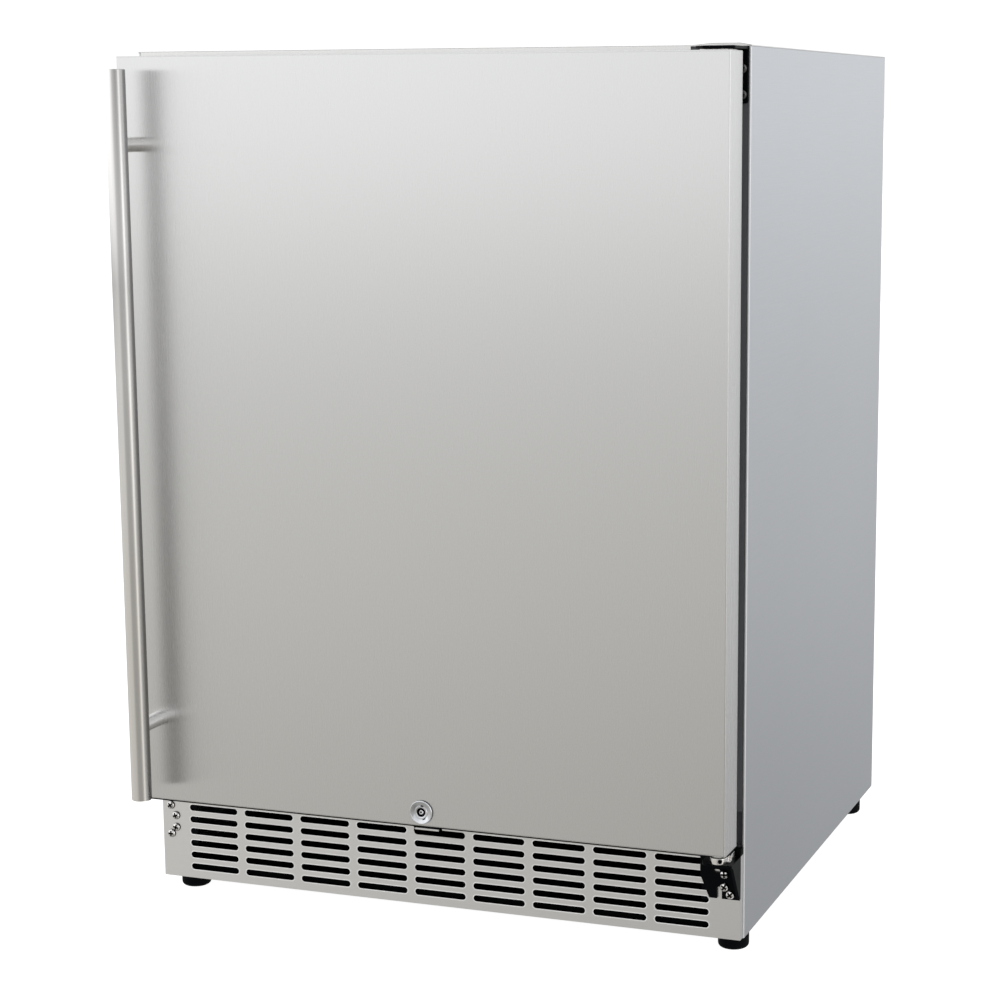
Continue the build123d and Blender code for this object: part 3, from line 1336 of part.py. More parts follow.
with BuildPart() as refrigerant_lines:
    for places in (discharge_line, liquid_line, suction_line):
        with BuildLine():
            route = FilletPolyline(*places, radius=tube_bend)
        with BuildSketch(Plane(origin=route @ 0, z_dir=route % 0)):
            Circle(tube_diameter / 2)
        sweep()
    with Locations(Location(((drier_left_x + drier_right_x) / 2, line_y, liquid_z), (0, 90, 0))):
        Cylinder(drier_diameter / 2, drier_length)
save(refrigerant_lines, "refrigerant_lines")
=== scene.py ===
import json
from math import atan2, copysign, cos, degrees, hypot, pi, radians, sin, tau

import bmesh
import bpy
from bpy.props import FloatProperty, FloatVectorProperty, IntProperty, PointerProperty
from bpy.types import Operator, Panel, PropertyGroup
from mathutils import Matrix, Vector


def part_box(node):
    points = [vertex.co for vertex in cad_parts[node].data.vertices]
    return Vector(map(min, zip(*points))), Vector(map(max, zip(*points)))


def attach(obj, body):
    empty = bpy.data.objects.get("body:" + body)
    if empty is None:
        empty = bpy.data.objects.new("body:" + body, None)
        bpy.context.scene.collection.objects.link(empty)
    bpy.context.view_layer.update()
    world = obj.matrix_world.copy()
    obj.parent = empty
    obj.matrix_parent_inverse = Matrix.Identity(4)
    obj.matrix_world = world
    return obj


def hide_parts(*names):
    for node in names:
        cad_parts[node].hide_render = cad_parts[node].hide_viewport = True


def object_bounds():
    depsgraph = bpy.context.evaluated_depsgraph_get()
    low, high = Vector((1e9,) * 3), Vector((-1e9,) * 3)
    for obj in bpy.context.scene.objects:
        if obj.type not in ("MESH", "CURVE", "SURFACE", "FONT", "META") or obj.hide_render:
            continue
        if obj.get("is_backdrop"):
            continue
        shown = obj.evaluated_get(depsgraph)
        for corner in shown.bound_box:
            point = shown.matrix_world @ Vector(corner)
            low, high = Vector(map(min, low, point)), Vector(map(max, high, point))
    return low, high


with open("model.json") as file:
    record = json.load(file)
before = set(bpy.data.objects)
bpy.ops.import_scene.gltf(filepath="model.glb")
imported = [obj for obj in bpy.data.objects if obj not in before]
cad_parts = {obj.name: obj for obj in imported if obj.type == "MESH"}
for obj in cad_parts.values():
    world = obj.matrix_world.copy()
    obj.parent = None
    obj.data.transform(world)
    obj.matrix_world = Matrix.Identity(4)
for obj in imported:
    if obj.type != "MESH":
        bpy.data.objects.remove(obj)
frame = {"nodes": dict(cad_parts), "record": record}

bl_info = {
    "name": "Undercounter Refrigerator Finish",
    "version": (1, 0, 0),
    "blender": (4, 5, 0),
    "location": "View3D > Sidebar > Refrigerator",
    "description": "Dresses the framed undercounter refrigerator in finished pieces, materials and a studio",
    "category": "Object",
}

MM = 0.001
CAD_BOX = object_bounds()
MERGE = 0.001 * MM
EDGE_SLACK = 0.05 * MM
SEAT_GAP = 0.1 * MM             # left between a visual piece and what it lies on
SHARP_CORNER = radians(30)
ARC_STEPS = 3                   # flats of a small rounding in a spun outline
DIAL_MARKS = 8
BODY_OF = {node: body for body, nodes in frame["record"]["behaviour"]["bodies"].items() for node in nodes}
SLOT_OF = {part["node"]: part["material_slot"] for part in frame["record"]["subparts"]}
PAINTED_SHADE = "recess"               # face attribute: 1 where shade is painted in: sockets, keyways, the seam under the top lip, shaded sides
CUT_EDGE_AND_HIGHLIGHT = "rim"                     # face attribute: 1 where a lighter matte cut-edge tone goes on, which also paints in highlight lines
PAINTED_BAR_SHADE = "dulled"               # point attribute: 1 where shade is painted on a bar, on its flank towards the door and up its front
HEM_CUT_AND_HIGHLIGHT, BEAD_HIGHLIGHT, DOOR_SIDE_PAINTED_LIGHT = 0.4, 0.6, 0.08       # how far each gets the lighter cut-edge tone and painted highlight
SEAM_PAINTED_SHADE = 0.9               # how much painted shade the seam under the top sheet's lip gets


def length(name, description, default):
    """A size that a user may change, in metres."""
    return FloatProperty(name=name, description=description, default=default, min=0.0, precision=5,
                         subtype="DISTANCE", unit="LENGTH")


def turn(name, description, default):
    """An angle that a user may change, given here in degrees."""
    return FloatProperty(name=name, description=description, default=radians(default), subtype="ANGLE",
                         unit="ROTATION")


def colour(name, description, default):
    """A linear colour that a user may change."""
    return FloatVectorProperty(name=name, description=description, default=default, size=3, min=0.0, max=1.0,
                               subtype="COLOR")


# ---- sizes and colours ----
class BodyworkSizes(PropertyGroup):
    sheet_break: length("Sheet edge", "Radius left on a cut edge of sheet steel", 0.25 * MM)
    slot_bead: length("Slot bead", "Width of the bead round a grille slot", 0.85 * MM)
    side_sheet: length("Side sheet", "Thickness of the side sheets", 1.0 * MM)
    # the base seals are black; they close the gap by the side sheets and paint in its shade
    shade_seal_width: length("Seal width", "Reach of the base seals over the pan", 3.0 * MM)
    shade_seal_height: length("Seal height", "Height of the base seals", 9.0 * MM)
    shade_seal_setback: length("Seal setback", "Gap at the ends of the base seals", 4.0 * MM)
    pad_width: length("Corner pad width", "Width of the pad by the lower hinge", 6.0 * MM)
    pad_depth: length("Corner pad depth", "Reach of the pad behind the grille's face", 7.0 * MM)
    plate_break: length("Plate edge", "Radius on the edges of the hinge plates", 0.45 * MM)
    moulding_break: length("Moulding edge", "Radius on the edges of moulded plastic", 0.8 * MM)
    hem_break: length("Hem edge", "Radius on the side sheets' front edges", 0.45 * MM)
    tray_break: length("Bin edge", "Radius on the rims of the door bins", 0.5 * MM)
    smooth_angle: turn("Smooth angle", "Largest angle that is shaded smooth", 38)


class DoorSizes(PropertyGroup):
    # sizes of the black strip under the door's bottom edge, which paints in the shade there
    shade_strip_inset: length("Trim inset", "Gap at the trim's end on the handle's side", 3.0 * MM)
    corner_cut: length("Corner cut", "Gap at the trim's end on the hinge side", 14.0 * MM)
    shade_strip_depth: length("Trim depth", "Depth of the bottom trim", 1.7 * MM)
    shade_strip_height: length("Trim height", "Drop of the bottom trim below the door", 0.9 * MM)
    grip_end_break: length("Grip end", "Rounding at the ends of the bar", 0.9 * MM)
    grip_steps: IntProperty(name="Grip steps", description="Flats round the bar", default=96, min=12)
    bezel_lip: length("Bezel lip", "Width of the lock bezel's rounded rim", 1.5 * MM)
    bezel_dish: length("Bezel dish", "Depth of the dish inside the rim", 0.9 * MM)
    keyway_outer: length("Keyway outer diameter", "Outside of the ring keyway", 8.6 * MM)
    keyway_inner: length("Keyway pin diameter", "Pin in the middle of the ring keyway", 4.4 * MM)
    keyway_depth: length("Keyway depth", "Depth of the ring keyway", 4.6 * MM)
    barrel: length("Barrel diameter", "Lock's barrel behind the bezel", 18.5 * MM)
    # sizes of the black marks that paint in the shade of the two notches in the lock's dish
    notch_shade_length: length("Index length", "Length of the marks in the lock's dish", 2.8 * MM)
    notch_shade_width: length("Index width", "Width of the marks in the lock's dish", 1.0 * MM)
    gasket_width: length("Gasket width", "Width of the gasket across its folds", 12.0 * MM)
    gasket_bellows: length("Gasket bellows", "How far the gasket's folds pull in", 1.6 * MM)


class ScrewSizes(PropertyGroup):
    head_height: length("Head height", "Height of a pan head", 2.4 * MM)
    shank_radius: length("Shank radius", "Radius of the shank under a head", 1.95 * MM)
    recess_span: length("Recess span", "Tip to tip size of the cross recess", 5.4 * MM)
    recess_web: length("Recess web", "Width of an arm of the cross recess", 1.7 * MM)
    recess_depth: length("Recess depth", "Depth of the cross recess", 1.7 * MM)


class FootSizes(PropertyGroup):
    edge_radius: length("Pad edge", "Rounding under the pad", 4.0 * MM)
    rim_break: length("Pad rim", "Rounding on top of the pad", 0.8 * MM)
    thread_pitch: length("Thread pitch", "Distance between the thread's crests", 1.5 * MM)
    thread_depth: length("Thread depth", "Height of the thread's crests", 0.75 * MM)


class FinishColours(PropertyGroup):
    door_steel: colour("Door steel", "Brushed steel of the door and grille", (0.672, 0.675, 0.677))
    side_steel: colour("Side steel", "Satin steel of the side sheets", (0.575, 0.598, 0.63))
    grip_steel: colour("Grip steel", "Polished steel of the bar handle", (0.95, 0.94, 0.93))
    plated: colour("Plating", "Bright plating on screws and pins", (0.78, 0.77, 0.76))
    black_paint: colour("Black paint", "Black coating of the hinges", (0.0015, 0.002, 0.0025))
    top_steel: colour("Top steel", "Satin steel of the top sheet", (0.70, 0.70, 0.695))
    rubber: colour("Rubber", "Feet and grommets", (0.0015, 0.002, 0.0025))
    liner_white: colour("Liner white", "Moulded cabinet and door liners", (0.80, 0.81, 0.81))
    # darkened past the coat's own grey to paint in the shade in the gap beside the door
    frame_grey: colour("Face frame grey", "Coated face frame", (0.070, 0.074, 0.080))


class StudioSettings(PropertyGroup):
    floor_half: length("Floor half width", "Half the side of the floor", 200.0)
    floor_glow: FloatProperty(name="Floor glow", description="Light from the pale floor", default=0.98)
    lens: FloatProperty(name="Lens", description="Focal length", default=85.25, subtype="DISTANCE_CAMERA",
                        unit="CAMERA")
    camera_shift: FloatVectorProperty(name="Camera shift", description="Lens shift across and up", size=2,
                                      default=(-0.0959, 0.0356))
    camera_place: FloatVectorProperty(name="Camera", description="Where the camera stands", size=3,
                                      default=(0.85437, -2.20924, 0.76355), subtype="TRANSLATION", unit="LENGTH")
    camera_yaw: turn("Yaw", "Camera's turn to the left of +Y", 19.336)
    camera_pitch: turn("Pitch", "Camera's tilt above the level", -10.192)
    camera_roll: turn("Roll", "Camera's roll about its view", -0.160)


# ---- materials ----
def feed(tree, sockets, values):
    """Gives each socket its value, or a link where the value is another node's output."""
    for name, value in values.items():
        if isinstance(value, bpy.types.NodeSocket):
            tree.links.new(value, sockets[name])
        else:
            sockets[name].default_value = value


def add_node(tree, kind, inputs=(), **settings):
    """Adds a shader node with its settings and what its inputs get, and returns its outputs."""
    node = tree.nodes.new(f"ShaderNode{kind}")
    for name, value in settings.items():
        setattr(node, name, value)
    feed(tree, node.inputs, dict(inputs))
    return node.outputs


class Finish:
    """A node material under construction, with the few helpers that the finishes share."""

    def __init__(self, name):
        self.material = bpy.data.materials.new(f"{name}_finish")
        self.material.use_nodes = True
        self.tree = self.material.node_tree
        self.shader = next(n for n in self.tree.nodes if n.type == "BSDF_PRINCIPLED")
        self.place = self.node("TexCoord")["Object"]

    def node(self, kind, inputs=(), **settings):
        return add_node(self.tree, kind, inputs, **settings)

    def set(self, **values):
        feed(self.tree, self.shader.inputs, {name.replace("_", " "): value for name, value in values.items()})
        return self.material

    def noise(self, stretch, scale=1.0, detail=3.0, roughness=0.5):
        """Noise on Object coordinates, scaled apart along each axis."""
        mapped = self.node("Mapping", {"Vector": self.place, "Scale": stretch})["Vector"]
        return self.node("TexNoise", {"Vector": mapped, "Scale": scale, "Detail": detail,
                                      "Roughness": roughness})["Fac"]

    def spread(self, value, low, high, from_low=0.3, from_high=0.7):
        """Maps a value onto a range."""
        return self.node("MapRange", {"Value": value, "From Min": from_low, "From Max": from_high,
                                      "To Min": low, "To Max": high})["Result"]

    def blend(self, value, first, second):
        """Blends two colours, either of them a socket, by a value from 0 to 1."""
        tones = [tone if isinstance(tone, bpy.types.NodeSocket) else (*tone, 1) for tone in (first, second)]
        return self.node("Mix", {"A": tones[0], "B": tones[1], "Factor": value}, data_type="RGBA")["Result"]

    def attribute(self, name):
        return self.node("Attribute", attribute_name=name)["Fac"]

    def bump(self, value, distance):
        return self.node("Bump", {"Height": value, "Distance": distance})["Normal"]


BAR_SHADE_SHARE = 0.33             # what a bar keeps of its tone under full painted shade
# lighter tone of a cut edge, which also paints in highlight lines
CUT_EDGE_AND_HIGHLIGHT_STEEL = (0.88, 0.88, 0.87)
CUT_METALLIC = 0.1
STEEL_SHADOW = (0.02, 0.02, 0.02)
PLATING_SHADOW = (0.004, 0.004, 0.005)
GRAIN_GLOSS = 0.006             # how far the grain sways the roughness
PAINTED_LIGHT_SPAN = (-0.3, 0.25)     # places across, from where the painted light on a sheet is strongest to where it has its own tone


def shade(tone, factor):
    return tuple(min(1.0, channel * factor) for channel in tone)


def brushed(name, tone, roughness, grain, anisotropy=0.0, contrast=0.03, bump=0.004 * MM, painted_light_left=0.0,
            dulled=False):
    """Brushed or satin metal: fine streaks along the grain, with slow changes of tone, and painted light, shade and
    highlights.
    """
    finish = Finish(name)
    streaks = finish.noise(grain, detail=4.0, roughness=0.7)
    clouds = finish.noise((4.0, 4.0, 2.5), detail=3.0)
    streaked = finish.blend(finish.spread(streaks, 0.0, 1.0), shade(tone, 1 - contrast), shade(tone, 1 + contrast))
    clouded = finish.blend(finish.spread(clouds, 0.0, 0.35), streaked, shade(tone, 1 - 2 * contrast))
    # painted light: lighter towards the sheet's left end
    if painted_light_left:
        across = finish.node("SeparateXYZ", {"Vector": finish.place})["X"]
        share = finish.spread(across, painted_light_left, 0.0, *PAINTED_LIGHT_SPAN)
        clouded = finish.blend(share, clouded, (1.0, 1.0, 1.0))
    # painted shade on a bar
    if dulled:
        clouded = finish.blend(finish.attribute(PAINTED_BAR_SHADE), clouded, shade(tone, BAR_SHADE_SHARE))
    # painted highlight: a lighter matte tone on cut edges, slot beads and the door's sides
    rim = finish.attribute(CUT_EDGE_AND_HIGHLIGHT)
    cut_and_highlighted = finish.blend(rim, clouded, CUT_EDGE_AND_HIGHLIGHT_STEEL)
    if anisotropy:
        finish.set(Anisotropic=anisotropy,
                   Tangent=finish.node("Tangent", direction_type="RADIAL", axis="Z")["Tangent"])
    return finish.set(Base_Color=finish.blend(finish.attribute(PAINTED_SHADE), cut_and_highlighted, STEEL_SHADOW),
                      Metallic=finish.spread(rim, 1.0, CUT_METALLIC, 0.0, 1.0),
                      Roughness=finish.spread(streaks, roughness - GRAIN_GLOSS, roughness + GRAIN_GLOSS),
                      Normal=finish.bump(streaks, bump))


def plated(name, tone, roughness):
    """Bright plating, with painted shade where a socket or keyway is cut into it and on shaded sides."""
    finish = Finish(name)
    haze = finish.noise((1, 1, 1), scale=220.0, detail=3.0)
    bright = finish.blend(finish.spread(haze, 0.0, 1.0), shade(tone, 0.94), shade(tone, 1.05))
    return finish.set(Base_Color=finish.blend(finish.attribute(PAINTED_SHADE), bright, PLATING_SHADOW), Metallic=1.0,
                      Roughness=finish.spread(haze, roughness - 0.03, roughness + 0.05),
                      Normal=finish.bump(haze, 0.003 * MM))


def coated(name, tone, roughness, skin_scale=900.0, relief=0.008 * MM, contrast=0.06, gloss=0.5, clear=0.0):
    """Paint, rubber or plastic: an even colour with a fine skin and uneven gloss."""
    finish = Finish(name)
    skin = finish.noise((1, 1, 1), scale=skin_scale, detail=3.0)
    wear = finish.noise((1, 1, 1), scale=14.0, detail=4.0)
    skinned = finish.blend(finish.spread(skin, 0.0, 1.0), shade(tone, 1 - contrast), shade(tone, 1 + contrast))
    return finish.set(Base_Color=skinned, Specular_IOR_Level=gloss, Transmission_Weight=clear,
                      Roughness=finish.spread(wear, roughness - 0.05, roughness + 0.05),
                      Normal=finish.bump(skin, relief))


VERTICAL_GRAIN = (2600.0, 2600.0, 22.0)
CROSS_GRAIN = (14.0, 14.0, 1200.0)
FINISHES = {
    "brushed_stainless": lambda n, c: brushed(n, c.door_steel, 0.27, VERTICAL_GRAIN, 0.85,
                              contrast=0.003, bump=0.0002 * MM),
    "kick_stainless": lambda n, c: brushed(n, shade(c.door_steel, 1.07), 0.32, CROSS_GRAIN, 0.3,
                              painted_light_left=0.2),
    "panel_stainless": lambda n, c: brushed(n, c.side_steel, 0.34, CROSS_GRAIN, 0.5),
    "top_stainless": lambda n, c: brushed(n, c.top_steel, 0.3, CROSS_GRAIN, 0.5),
    "polished_stainless": lambda n, c: brushed(n, c.grip_steel, 0.2, VERTICAL_GRAIN, 0.3,
                              contrast=0.015, bump=0.001 * MM, dulled=True),
    "galvanised_steel": lambda n, c: brushed(n, (0.42, 0.43, 0.44), 0.45, (60.0, 60.0, 60.0), contrast=0.12),
    "bay_black": lambda n, c: coated(n, (0.002, 0.0025, 0.003), 0.7, gloss=0.03),
    "frame_grey": lambda n, c: coated(n, c.frame_grey, 0.5, 600.0),
    "white_liner": lambda n, c: coated(n, c.liner_white, 0.32, 260.0, contrast=0.02),
    "white_rail": lambda n, c: coated(n, shade(c.liner_white, 0.98), 0.34, 260.0, contrast=0.02),
    "foam": lambda n, c: coated(n, (0.75, 0.66, 0.42), 0.9, 600.0, relief=0.2 * MM),
    "black_steel": lambda n, c: coated(n, c.black_paint, 0.36, gloss=0.03),
    "plated_steel": lambda n, c: plated(n, c.plated, 0.15),
    "dark_plated": lambda n, c: plated(n, shade(c.plated, 0.12), 0.3),
    "chrome": lambda n, c: plated(n, (0.66, 0.68, 0.71), 0.11),
    "shelf_chrome": lambda n, c: plated(n, (0.76, 0.76, 0.77), 0.16),
    "black_rubber": lambda n, c: coated(n, c.rubber, 0.62, 1200.0, gloss=0.04),
    "gasket": lambda n, c: coated(n, (0.045, 0.047, 0.05), 0.6, 1200.0, gloss=0.3),
    "black_plastic": lambda n, c: coated(n, (0.012, 0.012, 0.013), 0.5, 700.0, gloss=0.3),
    "bin_plastic": lambda n, c: coated(n, (0.82, 0.86, 0.88), 0.12, 120.0, 0.002 * MM, 0.01, 0.5, 0.55),
    "knob_plastic": lambda n, c: coated(n, (0.04, 0.04, 0.045), 0.38, 700.0),
    "bush_plastic": lambda n, c: coated(n, (0.6, 0.6, 0.56), 0.5),
    "lens": lambda n, c: coated(n, (0.86, 0.87, 0.84), 0.2, 160.0, clear=0.4),
    "fin_aluminium": lambda n, c: brushed(n, (0.65, 0.66, 0.67), 0.35, (200.0, 200.0, 20.0)),
    "copper": lambda n, c: brushed(n, (0.72, 0.38, 0.22), 0.3, (100.0, 100.0, 100.0), contrast=0.08),
}


def finish_of(context, slot):
    """The slot's material, made the first time that a piece asks for it."""
    return bpy.data.materials.get(f"{slot}_finish") or FINISHES[slot](slot, context.scene.fridge_colours)


# ---- making pieces ----
def add_piece(context, name, bm, body, slot, nodes=(), weighted=False, finish=None):
    """Turns a finished bmesh into a piece that rides on a body and stands for its CAD nodes."""
    mesh = bpy.data.meshes.new(name)
    bm.to_mesh(mesh)
    bm.free()
    mesh.shade_smooth()
    mesh.set_sharp_from_angle(angle=context.scene.fridge_bodywork.smooth_angle)
    mesh.materials.append(finish_of(context, finish or slot))
    piece = bpy.data.objects.new(name, mesh)
    context.scene.collection.objects.link(piece)
    if weighted:
        normals = piece.modifiers.new("face_normals", "WEIGHTED_NORMAL")
        normals.keep_sharp = True
        normals.weight = 100
    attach(piece, body)
    if nodes:
        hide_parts(*nodes)


def stand_in(context, name, bm, node, weighted=False, finish=None):
    """Adds a finished bmesh in a CAD node's place, on the node's own body and slot."""
    add_piece(context, name, bm, BODY_OF[node], SLOT_OF[node], [node], weighted, finish)


def measured(node):
    """A node's lowest and highest corner, its centre, and half its width."""
    low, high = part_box(node)
    return low, high, (low + high) / 2, (high.x - low.x) / 2


def merged_copy(node):
    """A bmesh of a CAD node with its points merged and its flat areas joined up."""
    bm = bmesh.new()
    bm.from_mesh(frame["nodes"][node].data)
    bmesh.ops.remove_doubles(bm, verts=bm.verts, dist=MERGE)
    bmesh.ops.dissolve_limit(bm, angle_limit=radians(0.3), verts=bm.verts, edges=bm.edges)
    return bm


def edged(context, *nodes, size="sheet_break", segments=2, clamped=False, finish=None, marks=()):
    """Copies of CAD nodes with a small radius, a named size of the bodywork, on every sharp edge.

    A size of None leaves the edges. Each mark is an attribute, its value, and a test of the faces that get it.
    """
    width = getattr(context.scene.fridge_bodywork, size) if size else 0.0
    for node in nodes:
        bm = merged_copy(node)
        sharp = [edge for edge in bm.edges if len(edge.link_faces) == 2 and edge.calc_face_angle() > SHARP_CORNER]
        if width and sharp:
            bmesh.ops.bevel(bm, geom=sharp, offset=width, offset_type="OFFSET", segments=segments, profile=0.5,
                            affect="EDGES", material=-1, clamp_overlap=clamped, loop_slide=True)
        low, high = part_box(node)
        for vertex in bm.verts:
            held = Vector([min(max(value, bottom), top) for value, bottom, top in zip(vertex.co, low, high)])
            if (held - vertex.co).length > EDGE_SLACK:
                raise RuntimeError(f"the edges of {node} spread outside its box")
            vertex.co = held
        bm.normal_update()
        for attribute, value, test in marks:
            layer = bm.faces.layers.float.get(attribute) or bm.faces.layers.float.new(attribute)
            for face in filter(test, bm.faces):
                face[layer] = value
        stand_in(context, f"{node}_edged", bm, node, weighted=True, finish=finish)


def box_of(points):
    """The lowest and highest corner round some points."""
    return [Vector([pick(point[axis] for point in points) for axis in range(3)]) for pick in (min, max)]


def island_boxes(node):
    """The lowest and highest corner of each separate solid in a CAD node."""
    bm = merged_copy(node)
    left = set(bm.verts)
    boxes = []
    while left:
        island, front = set(), [left.pop()]
        while front:
            vertex = front.pop()
            island.add(vertex)
            near = [edge.other_vert(vertex) for edge in vertex.link_edges]
            front.extend(v for v in near if v in left)
            left.difference_update(near)
        boxes.append(box_of([vertex.co for vertex in island]))
    bm.free()
    return sorted(boxes, key=lambda box: (box[0].x, box[0].z))


def new_parts(bm, before):
    return [v for v in bm.verts if v not in before]


def around(vertices, kind):
    """The edges or faces that meet at some points, each once and always in the same order."""
    return list(dict.fromkeys(part for vertex in vertices for part in getattr(vertex, f"link_{kind}")))


def close_up(bm, before):
    """Merges the points made since before, turns their faces outward and returns these."""
    bmesh.ops.remove_doubles(bm, verts=new_parts(bm, before), dist=MERGE)
    faces = around(new_parts(bm, before), "faces")
    bmesh.ops.recalc_face_normals(bm, faces=faces)
    return faces


def arc(across, along, radius, start, stop, steps):
    """Points on an arc in an outline's plane, between two bearings in degrees."""
    bearings = [radians(start + (stop - start) * step / steps) for step in range(steps + 1)]
    return [(across + radius * cos(b), along + radius * sin(b)) for b in bearings]


def spun(bm, profile, centre, axis, steps):
    """Spins an outline of (radius, place along the axis) a full turn, and closes its ends."""
    axis = Vector(axis)
    side = axis.orthogonal().normalized()
    before = set(bm.verts)
    points = [bm.verts.new(Vector(centre) + side * radius + axis * place) for radius, place in profile]
    edges = [bm.edges.new(pair) for pair in zip(points, points[1:])]
    bmesh.ops.spin(bm, geom=points + edges, cent=centre, axis=axis, angle=tau, steps=steps, use_merge=True,
                   use_duplicate=False)
    return close_up(bm, before)


def swing(bm, vertices, turn, centre):
    """Turns points about the Y axis and moves them from the origin to a centre."""
    bmesh.ops.rotate(bm, verts=vertices, cent=(0, 0, 0), matrix=Matrix.Rotation(turn, 3, "Y"))
    bmesh.ops.translate(bm, verts=vertices, vec=centre)


def loop_step(bm, edges, place):
    """Extrudes a loop of edges once and moves each new point to where place() says."""
    made = bmesh.ops.extrude_edge_only(bm, edges=edges)["geom"]
    fresh = [v for v in made if isinstance(v, bmesh.types.BMVert)]
    for vertex in fresh:
        vertex.co = place(vertex.co.copy())
    known = set(fresh)
    return [e for e in made if isinstance(e, bmesh.types.BMEdge) and all(v in known for v in e.verts)]


def swept_ring(bm, starts, places):
    """Sweeps a closed loop of points through each place() in turn and back to the first."""
    before = set(bm.verts)
    points = [bm.verts.new(places[0](start)) for start in starts]
    edges = [bm.edges.new(pair) for pair in zip(points, points[1:] + points[:1])]
    for place in places[1:] + places[:1]:
        edges = loop_step(bm, edges, place)
    close_up(bm, before)


def round_loop(radius, height):
    """Where a point of a round loop goes: onto this radius, at this height."""
    def place(co):
        flat = co.xy.normalized() * radius
        return Vector((flat.x, flat.y, height))
    return place


def cross_point(co, span, web):
    """A point of a twelve-point circle, moved to the outline of a cross."""
    signs = [copysign(1, value) for value in co.xy]
    sizes = [abs(value) for value in co.xy]
    if abs(sizes[0] - sizes[1]) < 0.2 * max(sizes):
        halves = (web / 2, web / 2)
    elif sizes[0] > sizes[1]:
        halves = (span / 2, web / 2)
    else:
        halves = (web / 2, span / 2)
    return Vector((signs[0] * halves[0], signs[1] * halves[1], co.z))


HEAD_PROFILE = ((1.0, 0.10), (0.985, 0.30), (0.93, 0.52), (0.83, 0.74), (0.70, 0.90))  # shares of radius, height
MOUTH_HEIGHT = 0.99             # where the cross recess starts, as a share of the head's height
SOCKET_TAPER = 0.72             # the recess's floor as a share of its mouth


def add_screw(context, bm, seat, outward, head_radius, shank_length, turn):
    """Adds a pan-head screw with a cross recess, its head's underside at seat."""
    sizes = context.scene.fridge_screws
    recess = bm.faces.layers.float.get(PAINTED_SHADE) or bm.faces.layers.float.new(PAINTED_SHADE)
    before = set(bm.verts)
    bmesh.ops.create_circle(bm, cap_ends=False, segments=36, radius=head_radius)
    rim = around(new_parts(bm, before), "edges")
    top = rim
    for radius_share, height_share in HEAD_PROFILE:
        top = loop_step(bm, top, round_loop(head_radius * radius_share, sizes.head_height * height_share))
    under = loop_step(bm, rim, round_loop(sizes.shank_radius, 0.0))
    under = loop_step(bm, under, round_loop(sizes.shank_radius, -shank_length))
    bmesh.ops.edgeloop_fill(bm, edges=under)
    known = set(bm.verts)
    bmesh.ops.create_circle(bm, cap_ends=False, segments=12, radius=sizes.recess_span / 2)
    cross = new_parts(bm, known)
    bmesh.ops.rotate(bm, verts=cross, cent=(0, 0, 0), matrix=Matrix.Rotation(radians(15), 3, "Z"))
    for vertex in cross:
        vertex.co = cross_point(vertex.co, sizes.recess_span, sizes.recess_web)
        vertex.co.z = sizes.head_height * MOUTH_HEIGHT
    mouth = around(cross, "edges")
    bmesh.ops.bridge_loops(bm, edges=top + mouth)
    shells = set(bm.faces)
    floor_z = sizes.head_height - sizes.recess_depth
    socket = loop_step(bm, mouth, lambda co: Vector((co.x * SOCKET_TAPER, co.y * SOCKET_TAPER, floor_z)))
    bmesh.ops.edgeloop_fill(bm, edges=socket)
    # painted shade in the cross recess
    for face in bm.faces:
        if face not in shells:
            face[recess] = 1.0
    made = new_parts(bm, before)
    faces = around(made, "faces")
    # painted shade on the head's lower side wall
    for face in faces:
        if face.calc_center_median().z < sizes.head_height * HEAD_PROFILE[2][1]:
            face[recess] = 1.0
    bmesh.ops.recalc_face_normals(bm, faces=faces)
    facing = Vector(outward).to_track_quat("Z", "X").to_matrix() @ Matrix.Rotation(turn, 3, "Z")
    bmesh.ops.transform(bm, verts=made, matrix=Matrix.Translation(seat) @ facing.to_4x4())


def frame_ring(bm, low, high, profile):
    """A rectangular ring swept through (inset, depth) steps, with mitred corners."""
    centre = (low + high) / 2
    half = (high - low) / 2

    def corner(inset, depth):
        def place(co):
            return Vector((centre.x + copysign(half.x - inset, co.x - centre.x), depth,
                           centre.z + copysign(half.z - inset, co.z - centre.z)))
        return place

    starts = [Vector((centre.x + x, 0, centre.z + z)) for x, z in ((-1, -1), (1, -1), (1, 1), (-1, 1))]
    swept_ring(bm, starts, [corner(*step) for step in profile])


def add_bar(bm, low, high, corner_radius):
    """A small bar between two corners with rounded edges."""
    low, high = Vector(low), Vector(high)
    before = set(bm.verts)
    bmesh.ops.create_cube(bm, size=1.0)
    made = new_parts(bm, before)
    bmesh.ops.scale(bm, verts=made, vec=high - low)
    bmesh.ops.translate(bm, verts=made, vec=(low + high) / 2)
    bmesh.ops.bevel(bm, geom=around(made, "edges"), offset=corner_radius, offset_type="OFFSET", segments=2,
                    profile=0.5, affect="EDGES", material=-1)
    return new_parts(bm, before)


LONGEST_SLOT = 100 * MM
BEAD_PROFILE = ((0.0, 0.05), (0.15, -0.08), (0.5, -0.12), (0.85, -0.08), (1.0, 0.05))  # share of width, depth in mm


